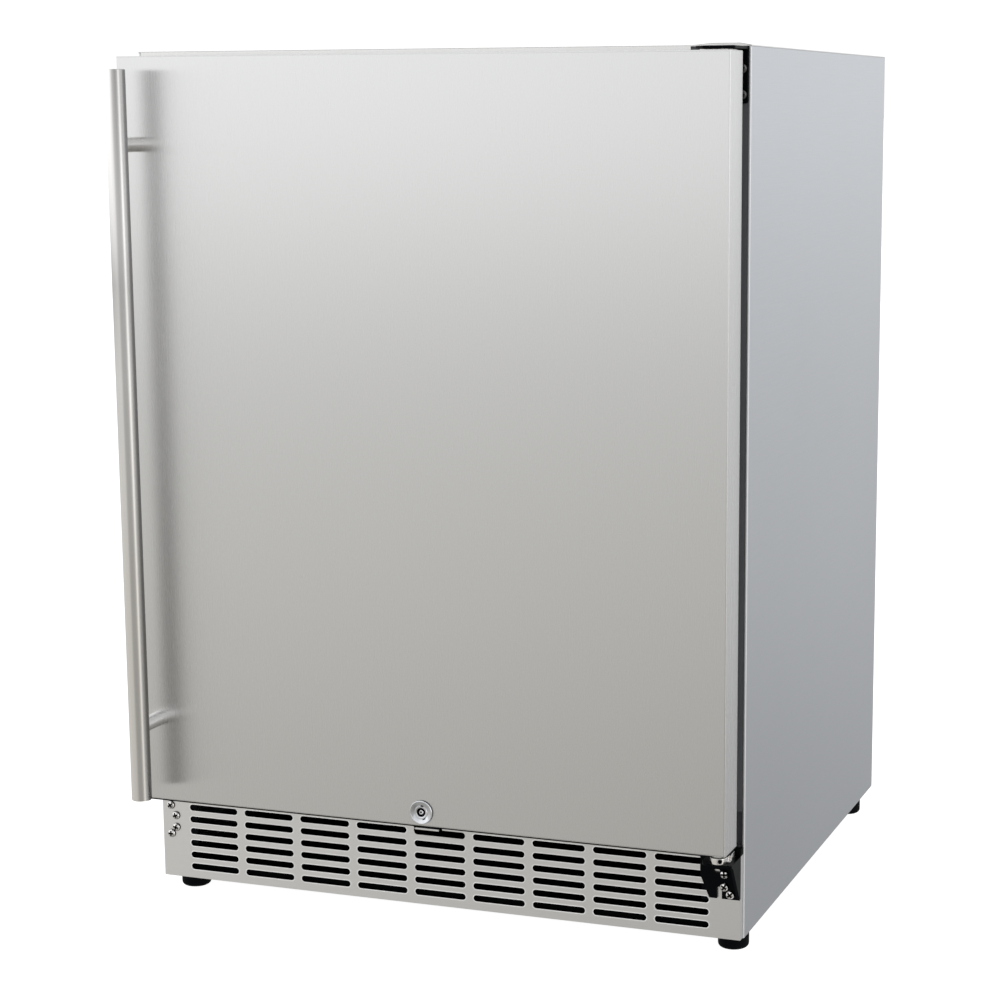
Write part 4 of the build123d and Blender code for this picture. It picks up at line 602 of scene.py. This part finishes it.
def slot_outlines(node):
    """The outlines of the long slots cut through a sheet's front face, each a closed list of points."""
    bm = merged_copy(node)
    face_y = min(vertex.co.y for vertex in bm.verts)
    near = {}
    for edge in bm.edges:
        in_front = all(vertex.co.y < face_y + MERGE for vertex in edge.verts)
        if in_front and sum(face.normal.y < -0.999 for face in edge.link_faces) == 1:
            for vertex in edge.verts:
                near.setdefault(vertex, []).append(edge.other_vert(vertex))
    outlines = []
    left = dict.fromkeys(near)
    while left:
        walk = [left.popitem()[0]]
        while ahead := [vertex for vertex in near[walk[-1]] if vertex in left]:
            walk.append(ahead[0])
            del left[ahead[0]]
        outline = [vertex.co.copy() for vertex in walk]
        low, high = box_of(outline)
        if 4 * (high.z - low.z) < high.x - low.x < LONGEST_SLOT:
            outlines.append(outline)
    bm.free()
    return outlines


def add_bead(bm, outline, width):
    """A low rounded bead round a slot with full round ends."""
    low, high = box_of(outline)
    radius = (high.z - low.z) / 2
    middle_z = (low.z + high.z) / 2

    def shifted(step, depth):
        def place(co):
            spine = Vector((min(max(co.x, low.x + radius), high.x - radius), 0, middle_z))
            spoke = (Vector((co.x, 0, co.z)) - spine).normalized()
            return Vector((spine.x, low.y + depth, spine.z)) + spoke * (radius + step)
        return place

    swept_ring(bm, outline, [shifted(share * width, depth * MM) for share, depth in BEAD_PROFILE])


# ---- operators: cabinet ----
class FRIDGE_OT_shell(Operator):
    """Side, top and back sheets with softened edges"""
    bl_idname = "fridge.shell"
    bl_label = "Outer Shell"

    def execute(self, context):
        # the hem's front faces get a lighter matte tone that paints in a highlight line
        hem = [(CUT_EDGE_AND_HIGHLIGHT, HEM_CUT_AND_HIGHLIGHT, lambda face: face.normal.y < -0.3)]
        edged(context, "side_panel_left", "side_panel_right", size="hem_break", marks=hem)
        edged(context, "back_panel")
        # painted shade in the seam under the top sheet's front lip
        seam = [(PAINTED_SHADE, SEAM_PAINTED_SHADE, lambda face: face.normal.y < -0.2 and abs(face.normal.z) > 0.2)]
        edged(context, "top_panel", finish="top_stainless", marks=seam)
        return {"FINISHED"}


class FRIDGE_OT_opening(Operator):
    """Face frame, and the moulded inner liner with its shelf rails"""
    bl_idname = "fridge.opening"
    bl_label = "Opening"

    def execute(self, context):
        edged(context, "front_frame")
        edged(context, "inner_liner", size="tray_break")
        edged(context, "shelf_rails", size="moulding_break", segments=3)
        return {"FINISHED"}


class FRIDGE_OT_base(Operator):
    """Base pan with black seals along the side sheets that close the gap and paint in its shade, front rail, bay
    sheet and the plates behind the hinges
    """
    bl_idname = "fridge.base"
    bl_label = "Base"

    def execute(self, context):
        sizes = context.scene.fridge_bodywork
        edged(context, "base_pan", "machine_bay_liner", "hinge_backing_plates", segments=1)
        edged(context, "base_front_rail", segments=1, finish="frame_grey")
        low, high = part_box("base_pan")
        # black seals that close the gap by the side sheets and paint in its shade
        bm = bmesh.new()
        for wall, pan in ((CAD_BOX[0].x + sizes.side_sheet, low.x), (CAD_BOX[1].x - sizes.side_sheet, high.x)):
            inward = copysign(1, pan - wall)
            ends = sorted((wall + inward * SEAT_GAP, pan + inward * sizes.shade_seal_width))
            add_bar(bm, (ends[0], low.y + sizes.shade_seal_setback, low.z + 2 * SEAT_GAP),
                    (ends[1], high.y - sizes.shade_seal_setback, low.z + sizes.shade_seal_height), 0.5 * MM)
        add_piece(context, "base_seals", bm, "cabinet", "bay_black")
        return {"FINISHED"}


class FRIDGE_OT_kick_grille(Operator):
    """Slotted kick grille with beads pressed round its slots, and the lock's strike"""
    bl_idname = "fridge.kick_grille"
    bl_label = "Kick Grille"

    def execute(self, context):
        edged(context, "kick_grille")
        bm = bmesh.new()
        rim = bm.faces.layers.float.new(CUT_EDGE_AND_HIGHLIGHT)
        for outline in slot_outlines("kick_grille"):
            add_bead(bm, outline, context.scene.fridge_bodywork.slot_bead)
        # painted highlight round each slot
        for face in bm.faces:
            face[rim] = BEAD_HIGHLIGHT
        add_piece(context, "slot_beads", bm, "cabinet", SLOT_OF["kick_grille"])
        edged(context, "strike_plate")
        return {"FINISHED"}


class FRIDGE_OT_feet(Operator):
    """Levelling feet: a rounded pad on a threaded stud"""
    bl_idname = "fridge.feet"
    bl_label = "Levelling Feet"

    def execute(self, context):
        sizes = context.scene.fridge_feet
        edge, rim, pitch = sizes.edge_radius, sizes.rim_break, sizes.thread_pitch
        for node in ("foot_front_left", "foot_front_right", "foot_rear_left", "foot_rear_right"):
            _, high, centre, pad_radius = measured(node)
            points = [vertex.co for vertex in frame["nodes"][node].data.vertices]
            pad_top = max(round(point.z, 5) for point in points if point.z < high.z - 10 * MM)
            stud_radius = max((point.xy - centre.xy).length for point in points if point.z > high.z - MM)
            root = stud_radius - sizes.thread_depth
            profile = [(0.0, 0.0), *arc(pad_radius - edge, edge, edge, -90, 0, 8),
                       *arc(pad_radius - rim, pad_top - rim, rim, 0, 90, ARC_STEPS), (root, pad_top)]
            crest_z = pad_top + pitch
            while crest_z < high.z - pitch:
                profile += [(stud_radius, crest_z), (root, crest_z + pitch / 2)]
                crest_z += pitch
            profile += [(root, high.z), (0.0, high.z)]
            bm = bmesh.new()
            spun(bm, profile, (centre.x, centre.y, 0), (0, 0, 1), 48)
            stand_in(context, f"{node}_pad", bm, node)
        return {"FINISHED"}


class FRIDGE_OT_rear_cover(Operator):
    """Louvred rear cover and the cord's gland"""
    bl_idname = "fridge.rear_cover"
    bl_label = "Rear Cover"

    def execute(self, context):
        edged(context, "rear_cover", "power_gland")
        return {"FINISHED"}


# ---- operators: hinges and screws ----
class FRIDGE_OT_hinges(Operator):
    """Black hinge brackets with a rubber corner pad, and the door's hinge plates"""
    bl_idname = "fridge.hinges"
    bl_label = "Hinge Brackets"

    def execute(self, context):
        sizes = context.scene.fridge_bodywork
        edged(context, "lower_hinge_bracket", clamped=True)
        edged(context, "upper_hinge_bracket", "lower_door_plate", size="plate_break")
        edged(context, "upper_door_plate")
        grille_low, grille_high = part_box("kick_grille")
        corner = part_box("lower_hinge_bracket")[1]
        bm = bmesh.new()
        add_bar(bm, (corner.x - sizes.pad_width, grille_low.y - 1.2 * MM, corner.z + SEAT_GAP),
                (corner.x + 0.3 * MM, grille_low.y + sizes.pad_depth, grille_high.z + 0.5 * MM), 0.3 * MM)
        add_piece(context, "hinge_corner_pad", bm, "cabinet", "black_rubber")
        return {"FINISHED"}


class FRIDGE_OT_pivots(Operator):
    """Plated pivot boss with its stop lug and set screw, and the upper pin"""
    bl_idname = "fridge.pivots"
    bl_label = "Hinge Pivots"

    def execute(self, context):
        edged(context, "lower_hinge_pin")
        edged(context, "upper_hinge_pin", size=None)
        bm = merged_copy("lower_hinge_pin")
        hole = max((face for face in bm.faces if abs(face.normal.z) < 0.01 and face.normal.x > 0.2
                    and face.normal.y < -0.8 and len(face.verts) > 8), key=lambda face: face.calc_area())
        seat, outward = hole.calc_center_median(), hole.normal.copy()
        radius = max((vertex.co - seat).length for vertex in hole.verts) - 0.05 * MM
        bm.free()
        socket, floor, front, top = radius * 0.5, 0.3 * MM, 0.7 * MM, 0.9 * MM
        outline = [(0.0, 0.02 * MM), (radius, 0.02 * MM), (radius, front), (radius - top + front, top),
                   (socket, top), (socket, floor), (0.0, floor)]
        bm = bmesh.new()
        spun(bm, outline, seat, outward, 32)
        add_piece(context, "pivot_set_screw", bm, "cabinet", "black_steel")
        return {"FINISHED"}


class FRIDGE_OT_hinge_screws(Operator):
    """Pan-head screws with cross recesses, on both sides of the kick grille and on the upper hinge"""
    bl_idname = "fridge.hinge_screws"
    bl_label = "Hinge Screws"

    def execute(self, context):
        head = context.scene.fridge_screws.head_height
        grille, upper = bmesh.new(), bmesh.new()
        for index, (low, high) in enumerate(island_boxes("hinge_screws")):
            centre = (low + high) / 2
            seat = Vector((centre.x, low.y + head, centre.z))
            turn = radians((index * 37) % 90)
            bm = upper if centre.z > CAD_BOX[1].z / 2 else grille
            add_screw(context, bm, seat, (0, -1, 0), (high.x - low.x) / 2, high.y - low.y - head, turn)
        stand_in(context, "pan_head_screws", grille, "hinge_screws")
        add_piece(context, "upper_hinge_screws", upper, "cabinet", SLOT_OF["hinge_screws"], finish="dark_plated")
        return {"FINISHED"}


# ---- operators: door ----
class FRIDGE_OT_door(Operator):
    """Door skin with a black strip under its bottom edge that paints in the shade there, liner and bins"""
    bl_idname = "fridge.door"
    bl_label = "Door"

    def execute(self, context):
        sizes = context.scene.fridge_door
        # painted light on the door's side faces
        edged(context, "door_skin", marks=[(CUT_EDGE_AND_HIGHLIGHT, DOOR_SIDE_PAINTED_LIGHT, lambda face: face.normal.x > 0.9)])
        low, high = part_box("door_skin")
        front_y = low.y + 0.8 * MM
        # painted shade: a thin black strip along the door's bottom edge
        bm = bmesh.new()
        add_bar(bm, (low.x + sizes.shade_strip_inset, front_y, low.z - sizes.shade_strip_height),
                (high.x - sizes.corner_cut, front_y + sizes.shade_strip_depth, low.z), 0.2 * MM)
        add_piece(context, "door_bottom_trim", bm, "door", "black_rubber")
        edged(context, "door_liner", size="moulding_break")
        edged(context, "door_bin_lower", "door_bin_middle", "door_bin_upper", size="tray_break")
        return {"FINISHED"}


class FRIDGE_OT_gasket(Operator):
    """Magnetic door gasket with bellows"""
    bl_idname = "fridge.gasket"
    bl_label = "Door Gasket"

    def execute(self, context):
        sizes = context.scene.fridge_door
        low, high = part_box("door_gasket")
        neck = 3.2 * MM
        outer = [(neck, 0.0), (neck, 0.16), (neck + sizes.gasket_bellows, 0.25), (neck, 0.36), (0.8 * MM, 0.45),
                 (0.0, 0.52), (0.0, 0.92), (0.7 * MM, 1.0)]
        inner = [(sizes.gasket_width - inset, share) for inset, share in reversed(outer)]
        bm = bmesh.new()
        frame_ring(bm, low, high, [(inset, low.y + share * (high.y - low.y)) for inset, share in outer + inner])
        stand_in(context, "gasket_bellows", bm, "door_gasket")
        return {"FINISHED"}


GRIP_RINGS = (0.585, 0.715)     # shares of the bar's height where its painted shade turns


def grip_painted_shade(bearing, share):
    """How much shade is painted on the bar, by the bearing round it in degrees and the share of its height."""
    flank = min((bearing + 48) / 38, 1.0) if bearing < 15 else max(0.62, (85 - bearing) / 70)
    if 15 < bearing < 160:
        return flank
    off = (bearing + 62) / 50
    if share < 0.1:
        front = 0.0
    elif share < 0.6:
        front = 0.42
    elif share < 0.8:
        front = min(1.0, 0.54 + 0.2 * abs(off))
    else:
        front = min(0.78, 0.75 + off)
    return max(0.0, flank if bearing > -48 else 0.0, front)


class FRIDGE_OT_handle(Operator):
    """Round bar handle with rounded ends, and its two posts"""
    bl_idname = "fridge.handle"
    bl_label = "Bar Handle"

    def execute(self, context):
        sizes = context.scene.fridge_door
        low, high, centre, radius = measured("handle_bar")
        tall, edge = high.z - low.z, sizes.grip_end_break
        profile = [(0.0, low.z), *arc(radius - edge, low.z + edge, edge, -90, 0, ARC_STEPS),
                   *((radius, low.z + share * tall) for share in GRIP_RINGS),
                   *arc(radius - edge, high.z - edge, edge, 0, 90, ARC_STEPS), (0.0, high.z)]
        bm = bmesh.new()
        spun(bm, profile, (centre.x, centre.y, 0), (0, 0, 1), sizes.grip_steps)
        dulled = bm.verts.layers.float.new(PAINTED_BAR_SHADE)
        # painted shade, darkest on the flank towards the door
        for vertex in bm.verts:
            bearing = degrees(atan2(vertex.co.y - centre.y, vertex.co.x - centre.x))
            vertex[dulled] = grip_painted_shade(bearing, (vertex.co.z - low.z) / tall)
        stand_in(context, "grip_bar", bm, "handle_bar")
        bm = bmesh.new()
        edge = 0.3 * MM
        for post_low, post_high in island_boxes("handle_posts"):
            post = (post_low + post_high) / 2
            post_radius = (post_high.x - post_low.x) / 2
            outline = [(0.0, centre.y), (post_radius, centre.y), (post_radius, post_high.y - edge),
                       (post_radius - edge, post_high.y), (0.0, post_high.y)]
            spun(bm, outline, (post.x, 0, post.z), (0, 1, 0), 64)
        stand_in(context, "grip_posts", bm, "handle_posts")
        return {"FINISHED"}


def lock_parts(bm, outline, centre, steps):
    """Spins an outline about the lock's axis and gives each face with its middle and its radius."""
    for face in spun(bm, outline, (centre.x, 0, centre.z), (0, 1, 0), steps):
        middle = face.calc_center_median()
        yield face, middle, hypot(middle.x - centre.x, middle.z - centre.z)


def add_bezel(context):
    sizes = context.scene.fridge_door
    low, high, centre, radius = measured("lock_housing")
    front, lip = low.y, sizes.bezel_lip
    bore = measured("lock_plug")[3] + 0.06 * MM
    sheet_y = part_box("door_skin")[0].y
    wall_y = sheet_y - 0.5 * MM
    dish_y = front + sizes.bezel_dish
    profile = [(bore, high.y), (sizes.barrel / 2, high.y), (sizes.barrel / 2, sheet_y), (radius, sheet_y)]
    for step in range(9):
        angle = radians(180 * step / 8)
        rise = sin(angle)
        profile.append((radius - lip / 2 + lip / 2 * cos(angle),
                        wall_y - (wall_y - front) * rise if step < 5
                        else front + sizes.bezel_dish * 0.35 * (1 - rise)))
    profile += [(bore + 0.6 * MM, dish_y), (bore, dish_y + 0.3 * MM), (bore, high.y)]
    bm = bmesh.new()
    shadowed = bm.faces.layers.float.new(PAINTED_SHADE)
    for face, middle, spoke in lock_parts(bm, profile, centre, 72):
        if spoke > radius - 0.25 * MM and middle.y > front + 1.2 * MM:
            face[shadowed] = 1.0
    stand_in(context, "lock_bezel", bm, "lock_housing")


def add_plug(context):
    sizes = context.scene.fridge_door
    low, high, centre, radius = measured("lock_plug")
    face_y = low.y
    outer, inner, hole = sizes.keyway_outer / 2, sizes.keyway_inner / 2, 0.8 * MM
    floor_y = face_y + sizes.keyway_depth
    barrel_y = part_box("lock_housing")[1].y
    outline = [(0.0, face_y + 1.2 * MM), (hole, face_y + 1.2 * MM), (hole + 0.1 * MM, face_y + 0.5 * MM),
               (inner - 0.4 * MM, face_y + 0.4 * MM), (inner, face_y + 0.8 * MM), (inner, floor_y),
               (outer, floor_y), (outer, face_y + 0.5 * MM), (outer + 0.4 * MM, face_y + 0.1 * MM),
               (radius - 1.3 * MM, face_y), (radius - 0.3 * MM, face_y), (radius, face_y + 0.3 * MM),
               (radius, barrel_y), (radius / 2, barrel_y), (radius / 2, high.y), (0.0, high.y)]
    bm = bmesh.new()
    recess = bm.faces.layers.float.new(PAINTED_SHADE)
    for face, middle, spoke in lock_parts(bm, outline, centre, 64):
        # painted shade in the ring keyway and the pin's hole
        in_ring = inner + 0.01 * MM < spoke < outer + 0.02 * MM and middle.y > face_y + 0.6 * MM
        if in_ring or spoke < hole + 0.07 * MM:
            face[recess] = 1.0
    stand_in(context, "lock_plug_face", bm, "lock_plug")


# black marks in the lock's dish that paint in the shade of its two notches
def add_notch_shades(context):
    sizes = context.scene.fridge_door
    half_length, half_width = sizes.notch_shade_length / 2, sizes.notch_shade_width / 2
    low, _, centre, _ = measured("lock_housing")
    dish_y = low.y + sizes.bezel_dish
    bm = bmesh.new()
    for bearing, spoke in ((10, 6.2 * MM), (154, 6.8 * MM)):
        made = add_bar(bm, (-half_length, dish_y - 0.3 * MM, spoke - half_width),
                       (half_length, dish_y + 0.2 * MM, spoke + half_width), 0.15 * MM)
        swing(bm, made, radians(bearing), (centre.x, 0, centre.z))
    add_piece(context, "lock_index_marks", bm, "door", "black_plastic")


class FRIDGE_OT_lock(Operator):
    """Cam lock: a dished bezel, a plug with a ring keyway, and the cam behind"""
    bl_idname = "fridge.lock"
    bl_label = "Cam Lock"

    def execute(self, context):
        for add in (add_bezel, add_plug, add_notch_shades):
            add(context)
        edged(context, "lock_cam", "lock_nut")
        return {"FINISHED"}


# ---- operators: inside ----
class FRIDGE_OT_shelves(Operator):
    """Chromed wire shelves"""
    bl_idname = "fridge.shelves"
    bl_label = "Wire Shelves"

    def execute(self, context):
        edged(context, "wire_shelf_lower", "wire_shelf_upper", size=None)
        return {"FINISHED"}


class FRIDGE_OT_controls(Operator):
    """Thermostat box, its knob with a pointer, dial marks and the lamp lens"""
    bl_idname = "fridge.controls"
    bl_label = "Thermostat and Lamp"

    def execute(self, context):
        edged(context, "control_box", size="moulding_break", segments=3)
        edged(context, "lamp_lens", "thermostat_knob", size="tray_break")
        low, _, centre, radius = measured("thermostat_knob")
        half_width = 0.6 * MM
        bm = bmesh.new()
        add_bar(bm, (centre.x - half_width, low.y, centre.z + 3 * MM),
                (centre.x + half_width, low.y + 0.32 * MM, centre.z + 10.5 * MM), 0.1 * MM)
        add_piece(context, "knob_pointer", bm, "thermostat", "white_liner")
        face_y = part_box("control_box")[0].y
        half_width = 0.35 * MM
        bm = bmesh.new()
        for index in range(DIAL_MARKS):
            made = add_bar(bm, (-half_width, face_y, radius + 0.3 * MM),
                           (half_width, face_y + 0.2 * MM, radius + 1.7 * MM), 0.05 * MM)
            swing(bm, made, radians(270 * index / (DIAL_MARKS - 1) - 135), (centre.x, 0, centre.z))
        add_piece(context, "dial_marks", bm, "cabinet", "bush_plastic")
        return {"FINISHED"}


class FRIDGE_OT_cooling(Operator):
    """Evaporator's cover and fan, compressor, condenser's shroud and fan, and the refrigerant lines"""
    bl_idname = "fridge.cooling"
    bl_label = "Cooling"

    def execute(self, context):
        edged(context, "evaporator_cover", size="tray_break")
        edged(context, "evaporator_fan", "evaporator_fan_motor")
        edged(context, "compressor", "compressor_grommets", "refrigerant_lines", size=None)
        edged(context, "terminal_box", "condenser_shroud", "condenser_fan", "condenser_fan_motor")
        return {"FINISHED"}


class FRIDGE_OT_frame_nodes(Operator):
    """Gives every CAD node that still shows the finish of its slot"""
    bl_idname = "fridge.frame_nodes"
    bl_label = "Frame Node Finishes"

    def execute(self, context):
        for node, slot in SLOT_OF.items():
            mesh = frame["nodes"][node].data
            mesh.materials.clear()
            mesh.materials.append(finish_of(context, slot))
        return {"FINISHED"}


# ---- operator: stage ----
# Brightness of the studio by the sine of the elevation: before the door, and beyond the right side.
FRONT_TONES = ((-1.0, 0.40), (-0.60, 0.42), (-0.42, 0.54), (-0.309, 0.635), (-0.276, 0.63), (-0.232, 0.71),
               (-0.182, 0.785), (-0.132, 0.79), (-0.108, 0.825), (-0.084, 0.89), (-0.059, 1.02), (-0.035, 1.20),
               (-0.009, 1.36), (0.023, 1.40), (0.10, 1.32), (0.30, 1.16), (1.0, 1.10))
SIDE_TONES = ((-1.0, 1.00), (-0.60, 0.80), (-0.42, 0.42), (-0.309, 0.46), (-0.268, 0.51), (-0.224, 0.60),
              (-0.177, 0.67), (-0.130, 0.71), (-0.106, 0.74), (-0.082, 0.79), (-0.058, 0.84), (-0.033, 0.93),
              (-0.009, 1.01), (0.016, 1.05), (0.10, 1.08), (0.30, 1.06), (1.0, 1.05))
WARMTH = (1.03, 1.0, 0.935)     # tint of what lies low in front
WARM_BELOW = -0.28              # sine of the elevation from which the tint is whole
BASE_STRENGTH = 2.0             # the tones are halved in the ramps, which end at 1

# Each a bearing, and the angles from it where the lobe starts and is whole.
RIGHT_SIDE = (71, 100, 50)
DARK_FLAG = (-70, 45, 8)
BRIGHT_STRIP = (-20, 13, 6)


def tone_ramp(tree, value, tones, tint):
    """A colour ramp of tones by height, tinted where it is low."""
    ramp = tree.nodes.new("ShaderNodeValToRGB")
    tree.links.new(value, ramp.inputs["Fac"])
    stops = ramp.color_ramp.elements
    stops.remove(stops[1])
    for index, (place, tone) in enumerate(tones):
        share = (place + 1) / 2
        stop = stops[0] if index == 0 else stops.new(share)
        stop.position = share
        warm = min(1.0, max(0.0, place / WARM_BELOW))
        stop.color = (*(tone / BASE_STRENGTH * (1 + warm * (channel - 1)) for channel in tint), 1)
    return ramp.outputs["Color"]


def studio_world(scene):
    """Light that changes with height, with a darker and a brighter lobe before the door."""
    world = bpy.data.worlds.new("studio")
    world.use_nodes = True
    tree = world.node_tree
    direction = add_node(tree, "TexCoord")["Generated"]
    up = add_node(tree, "SeparateXYZ", {"Vector": direction})["Z"]
    height = add_node(tree, "MapRange", {"Value": up, "From Min": -1, "From Max": 1})["Result"]
    level = add_node(tree, "VectorMath", {0: direction, 1: (1, 1, 0)}, operation="MULTIPLY")["Vector"]
    heading = add_node(tree, "VectorMath", {0: level}, operation="NORMALIZE")["Vector"]

    def lobe(bearing, edge, core, outside, inside):
        """A value that eases from one to another between two angles from a bearing."""
        bearing, edge, core = (radians(angle) for angle in (bearing, edge, core))
        dot = add_node(tree, "VectorMath", {0: heading, 1: (cos(bearing), sin(bearing), 0)},
                       operation="DOT_PRODUCT")["Value"]
        return add_node(tree, "MapRange", {"Value": dot, "From Min": cos(edge), "From Max": cos(core),
                                           "To Min": outside, "To Max": inside},
                        interpolation_type="SMOOTHSTEP")["Result"]

    tone = add_node(tree, "Mix", {"Factor": lobe(*RIGHT_SIDE, 0.0, 1.0),
                                  "A": tone_ramp(tree, height, FRONT_TONES, WARMTH),
                                  "B": tone_ramp(tree, height, SIDE_TONES, (1, 1, 1))}, data_type="RGBA")["Result"]
    strength = add_node(tree, "Math", {0: lobe(*DARK_FLAG, 1.0, 0.62), 1: lobe(*BRIGHT_STRIP, BASE_STRENGTH, 3.3)},
                        operation="MULTIPLY")["Value"]
    feed(tree, tree.nodes["Background"].inputs, {"Color": tone, "Strength": strength})
    scene.world = world


class FRIDGE_OT_stage(Operator):
    """Pale floor, soft studio light and the camera"""
    bl_idname = "fridge.stage"
    bl_label = "Studio Stage"

    def execute(self, context):
        scene = context.scene
        studio = scene.fridge_studio
        bm = bmesh.new()
        bmesh.ops.create_grid(bm, x_segments=1, y_segments=1, size=studio.floor_half)
        mesh = bpy.data.meshes.new("floor")
        bm.to_mesh(mesh)
        bm.free()
        floor = bpy.data.objects.new("floor", mesh)
        scene.collection.objects.link(floor)
        finish = Finish("floor")
        dust = finish.noise((1, 1, 1), scale=3.0)
        mesh.materials.append(finish.set(
            Base_Color=finish.blend(dust, (0.33, 0.33, 0.33), (0.35, 0.35, 0.35)), Roughness=0.9,
            Specular_IOR_Level=0.0, Emission_Color=(1, 1, 1, 1), Emission_Strength=studio.floor_glow))
        floor.visible_glossy = False
        floor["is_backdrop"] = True
        scene.view_settings.view_transform = "Standard"
        studio_world(scene)
        camera = bpy.data.cameras.new("camera")
        camera.sensor_width = 36
        camera.lens = studio.lens
        camera.shift_x, camera.shift_y = studio.camera_shift
        seat = bpy.data.objects.new("camera", camera)
        scene.collection.objects.link(seat)
        turns = ((studio.camera_yaw, "Z"), (studio.camera_pitch + pi / 2, "X"), (studio.camera_roll, "Z"))
        seat.matrix_world = Matrix.Translation(studio.camera_place)
        for turn, axis in turns:
            seat.matrix_world = seat.matrix_world @ Matrix.Rotation(turn, 4, axis)
        scene.camera = seat
        return {"FINISHED"}


# ---- panel and registration ----
PIECES = (FRIDGE_OT_frame_nodes, FRIDGE_OT_shell, FRIDGE_OT_opening, FRIDGE_OT_base, FRIDGE_OT_kick_grille,
          FRIDGE_OT_feet, FRIDGE_OT_rear_cover, FRIDGE_OT_hinges, FRIDGE_OT_pivots, FRIDGE_OT_hinge_screws,
          FRIDGE_OT_door, FRIDGE_OT_gasket, FRIDGE_OT_handle, FRIDGE_OT_lock, FRIDGE_OT_shelves,
          FRIDGE_OT_controls, FRIDGE_OT_cooling, FRIDGE_OT_stage)
SETTINGS = {"fridge_bodywork": BodyworkSizes, "fridge_door": DoorSizes, "fridge_screws": ScrewSizes,
            "fridge_feet": FootSizes, "fridge_colours": FinishColours, "fridge_studio": StudioSettings}


class FRIDGE_PT_pieces(Panel):
    """Lists the refrigerator's pieces and their settings"""
    bl_idname = "FRIDGE_PT_pieces"
    bl_label = "Undercounter Refrigerator"
    bl_space_type = "VIEW_3D"
    bl_region_type = "UI"
    bl_category = "Refrigerator"

    def draw(self, context):
        for piece in PIECES:
            self.layout.operator(piece.bl_idname)
        for settings, group in SETTINGS.items():
            box = self.layout.box()
            for name in group.__annotations__:
                box.prop(getattr(context.scene, settings), name)


CLASSES = (*SETTINGS.values(), *PIECES, FRIDGE_PT_pieces)


def register():
    for each in CLASSES:
        bpy.utils.register_class(each)
    for settings, group in SETTINGS.items():
        setattr(bpy.types.Scene, settings, PointerProperty(type=group))


def unregister():
    for settings in SETTINGS:
        delattr(bpy.types.Scene, settings)
    for each in reversed(CLASSES):
        bpy.utils.unregister_class(each)


def main():
    register()
    for piece in PIECES:
        getattr(bpy.ops.fridge, piece.bl_idname.split(".")[1])()
    boxes = [[list(corner) for corner in box] for box in (CAD_BOX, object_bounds())]


if __name__ == "__main__":
    main()
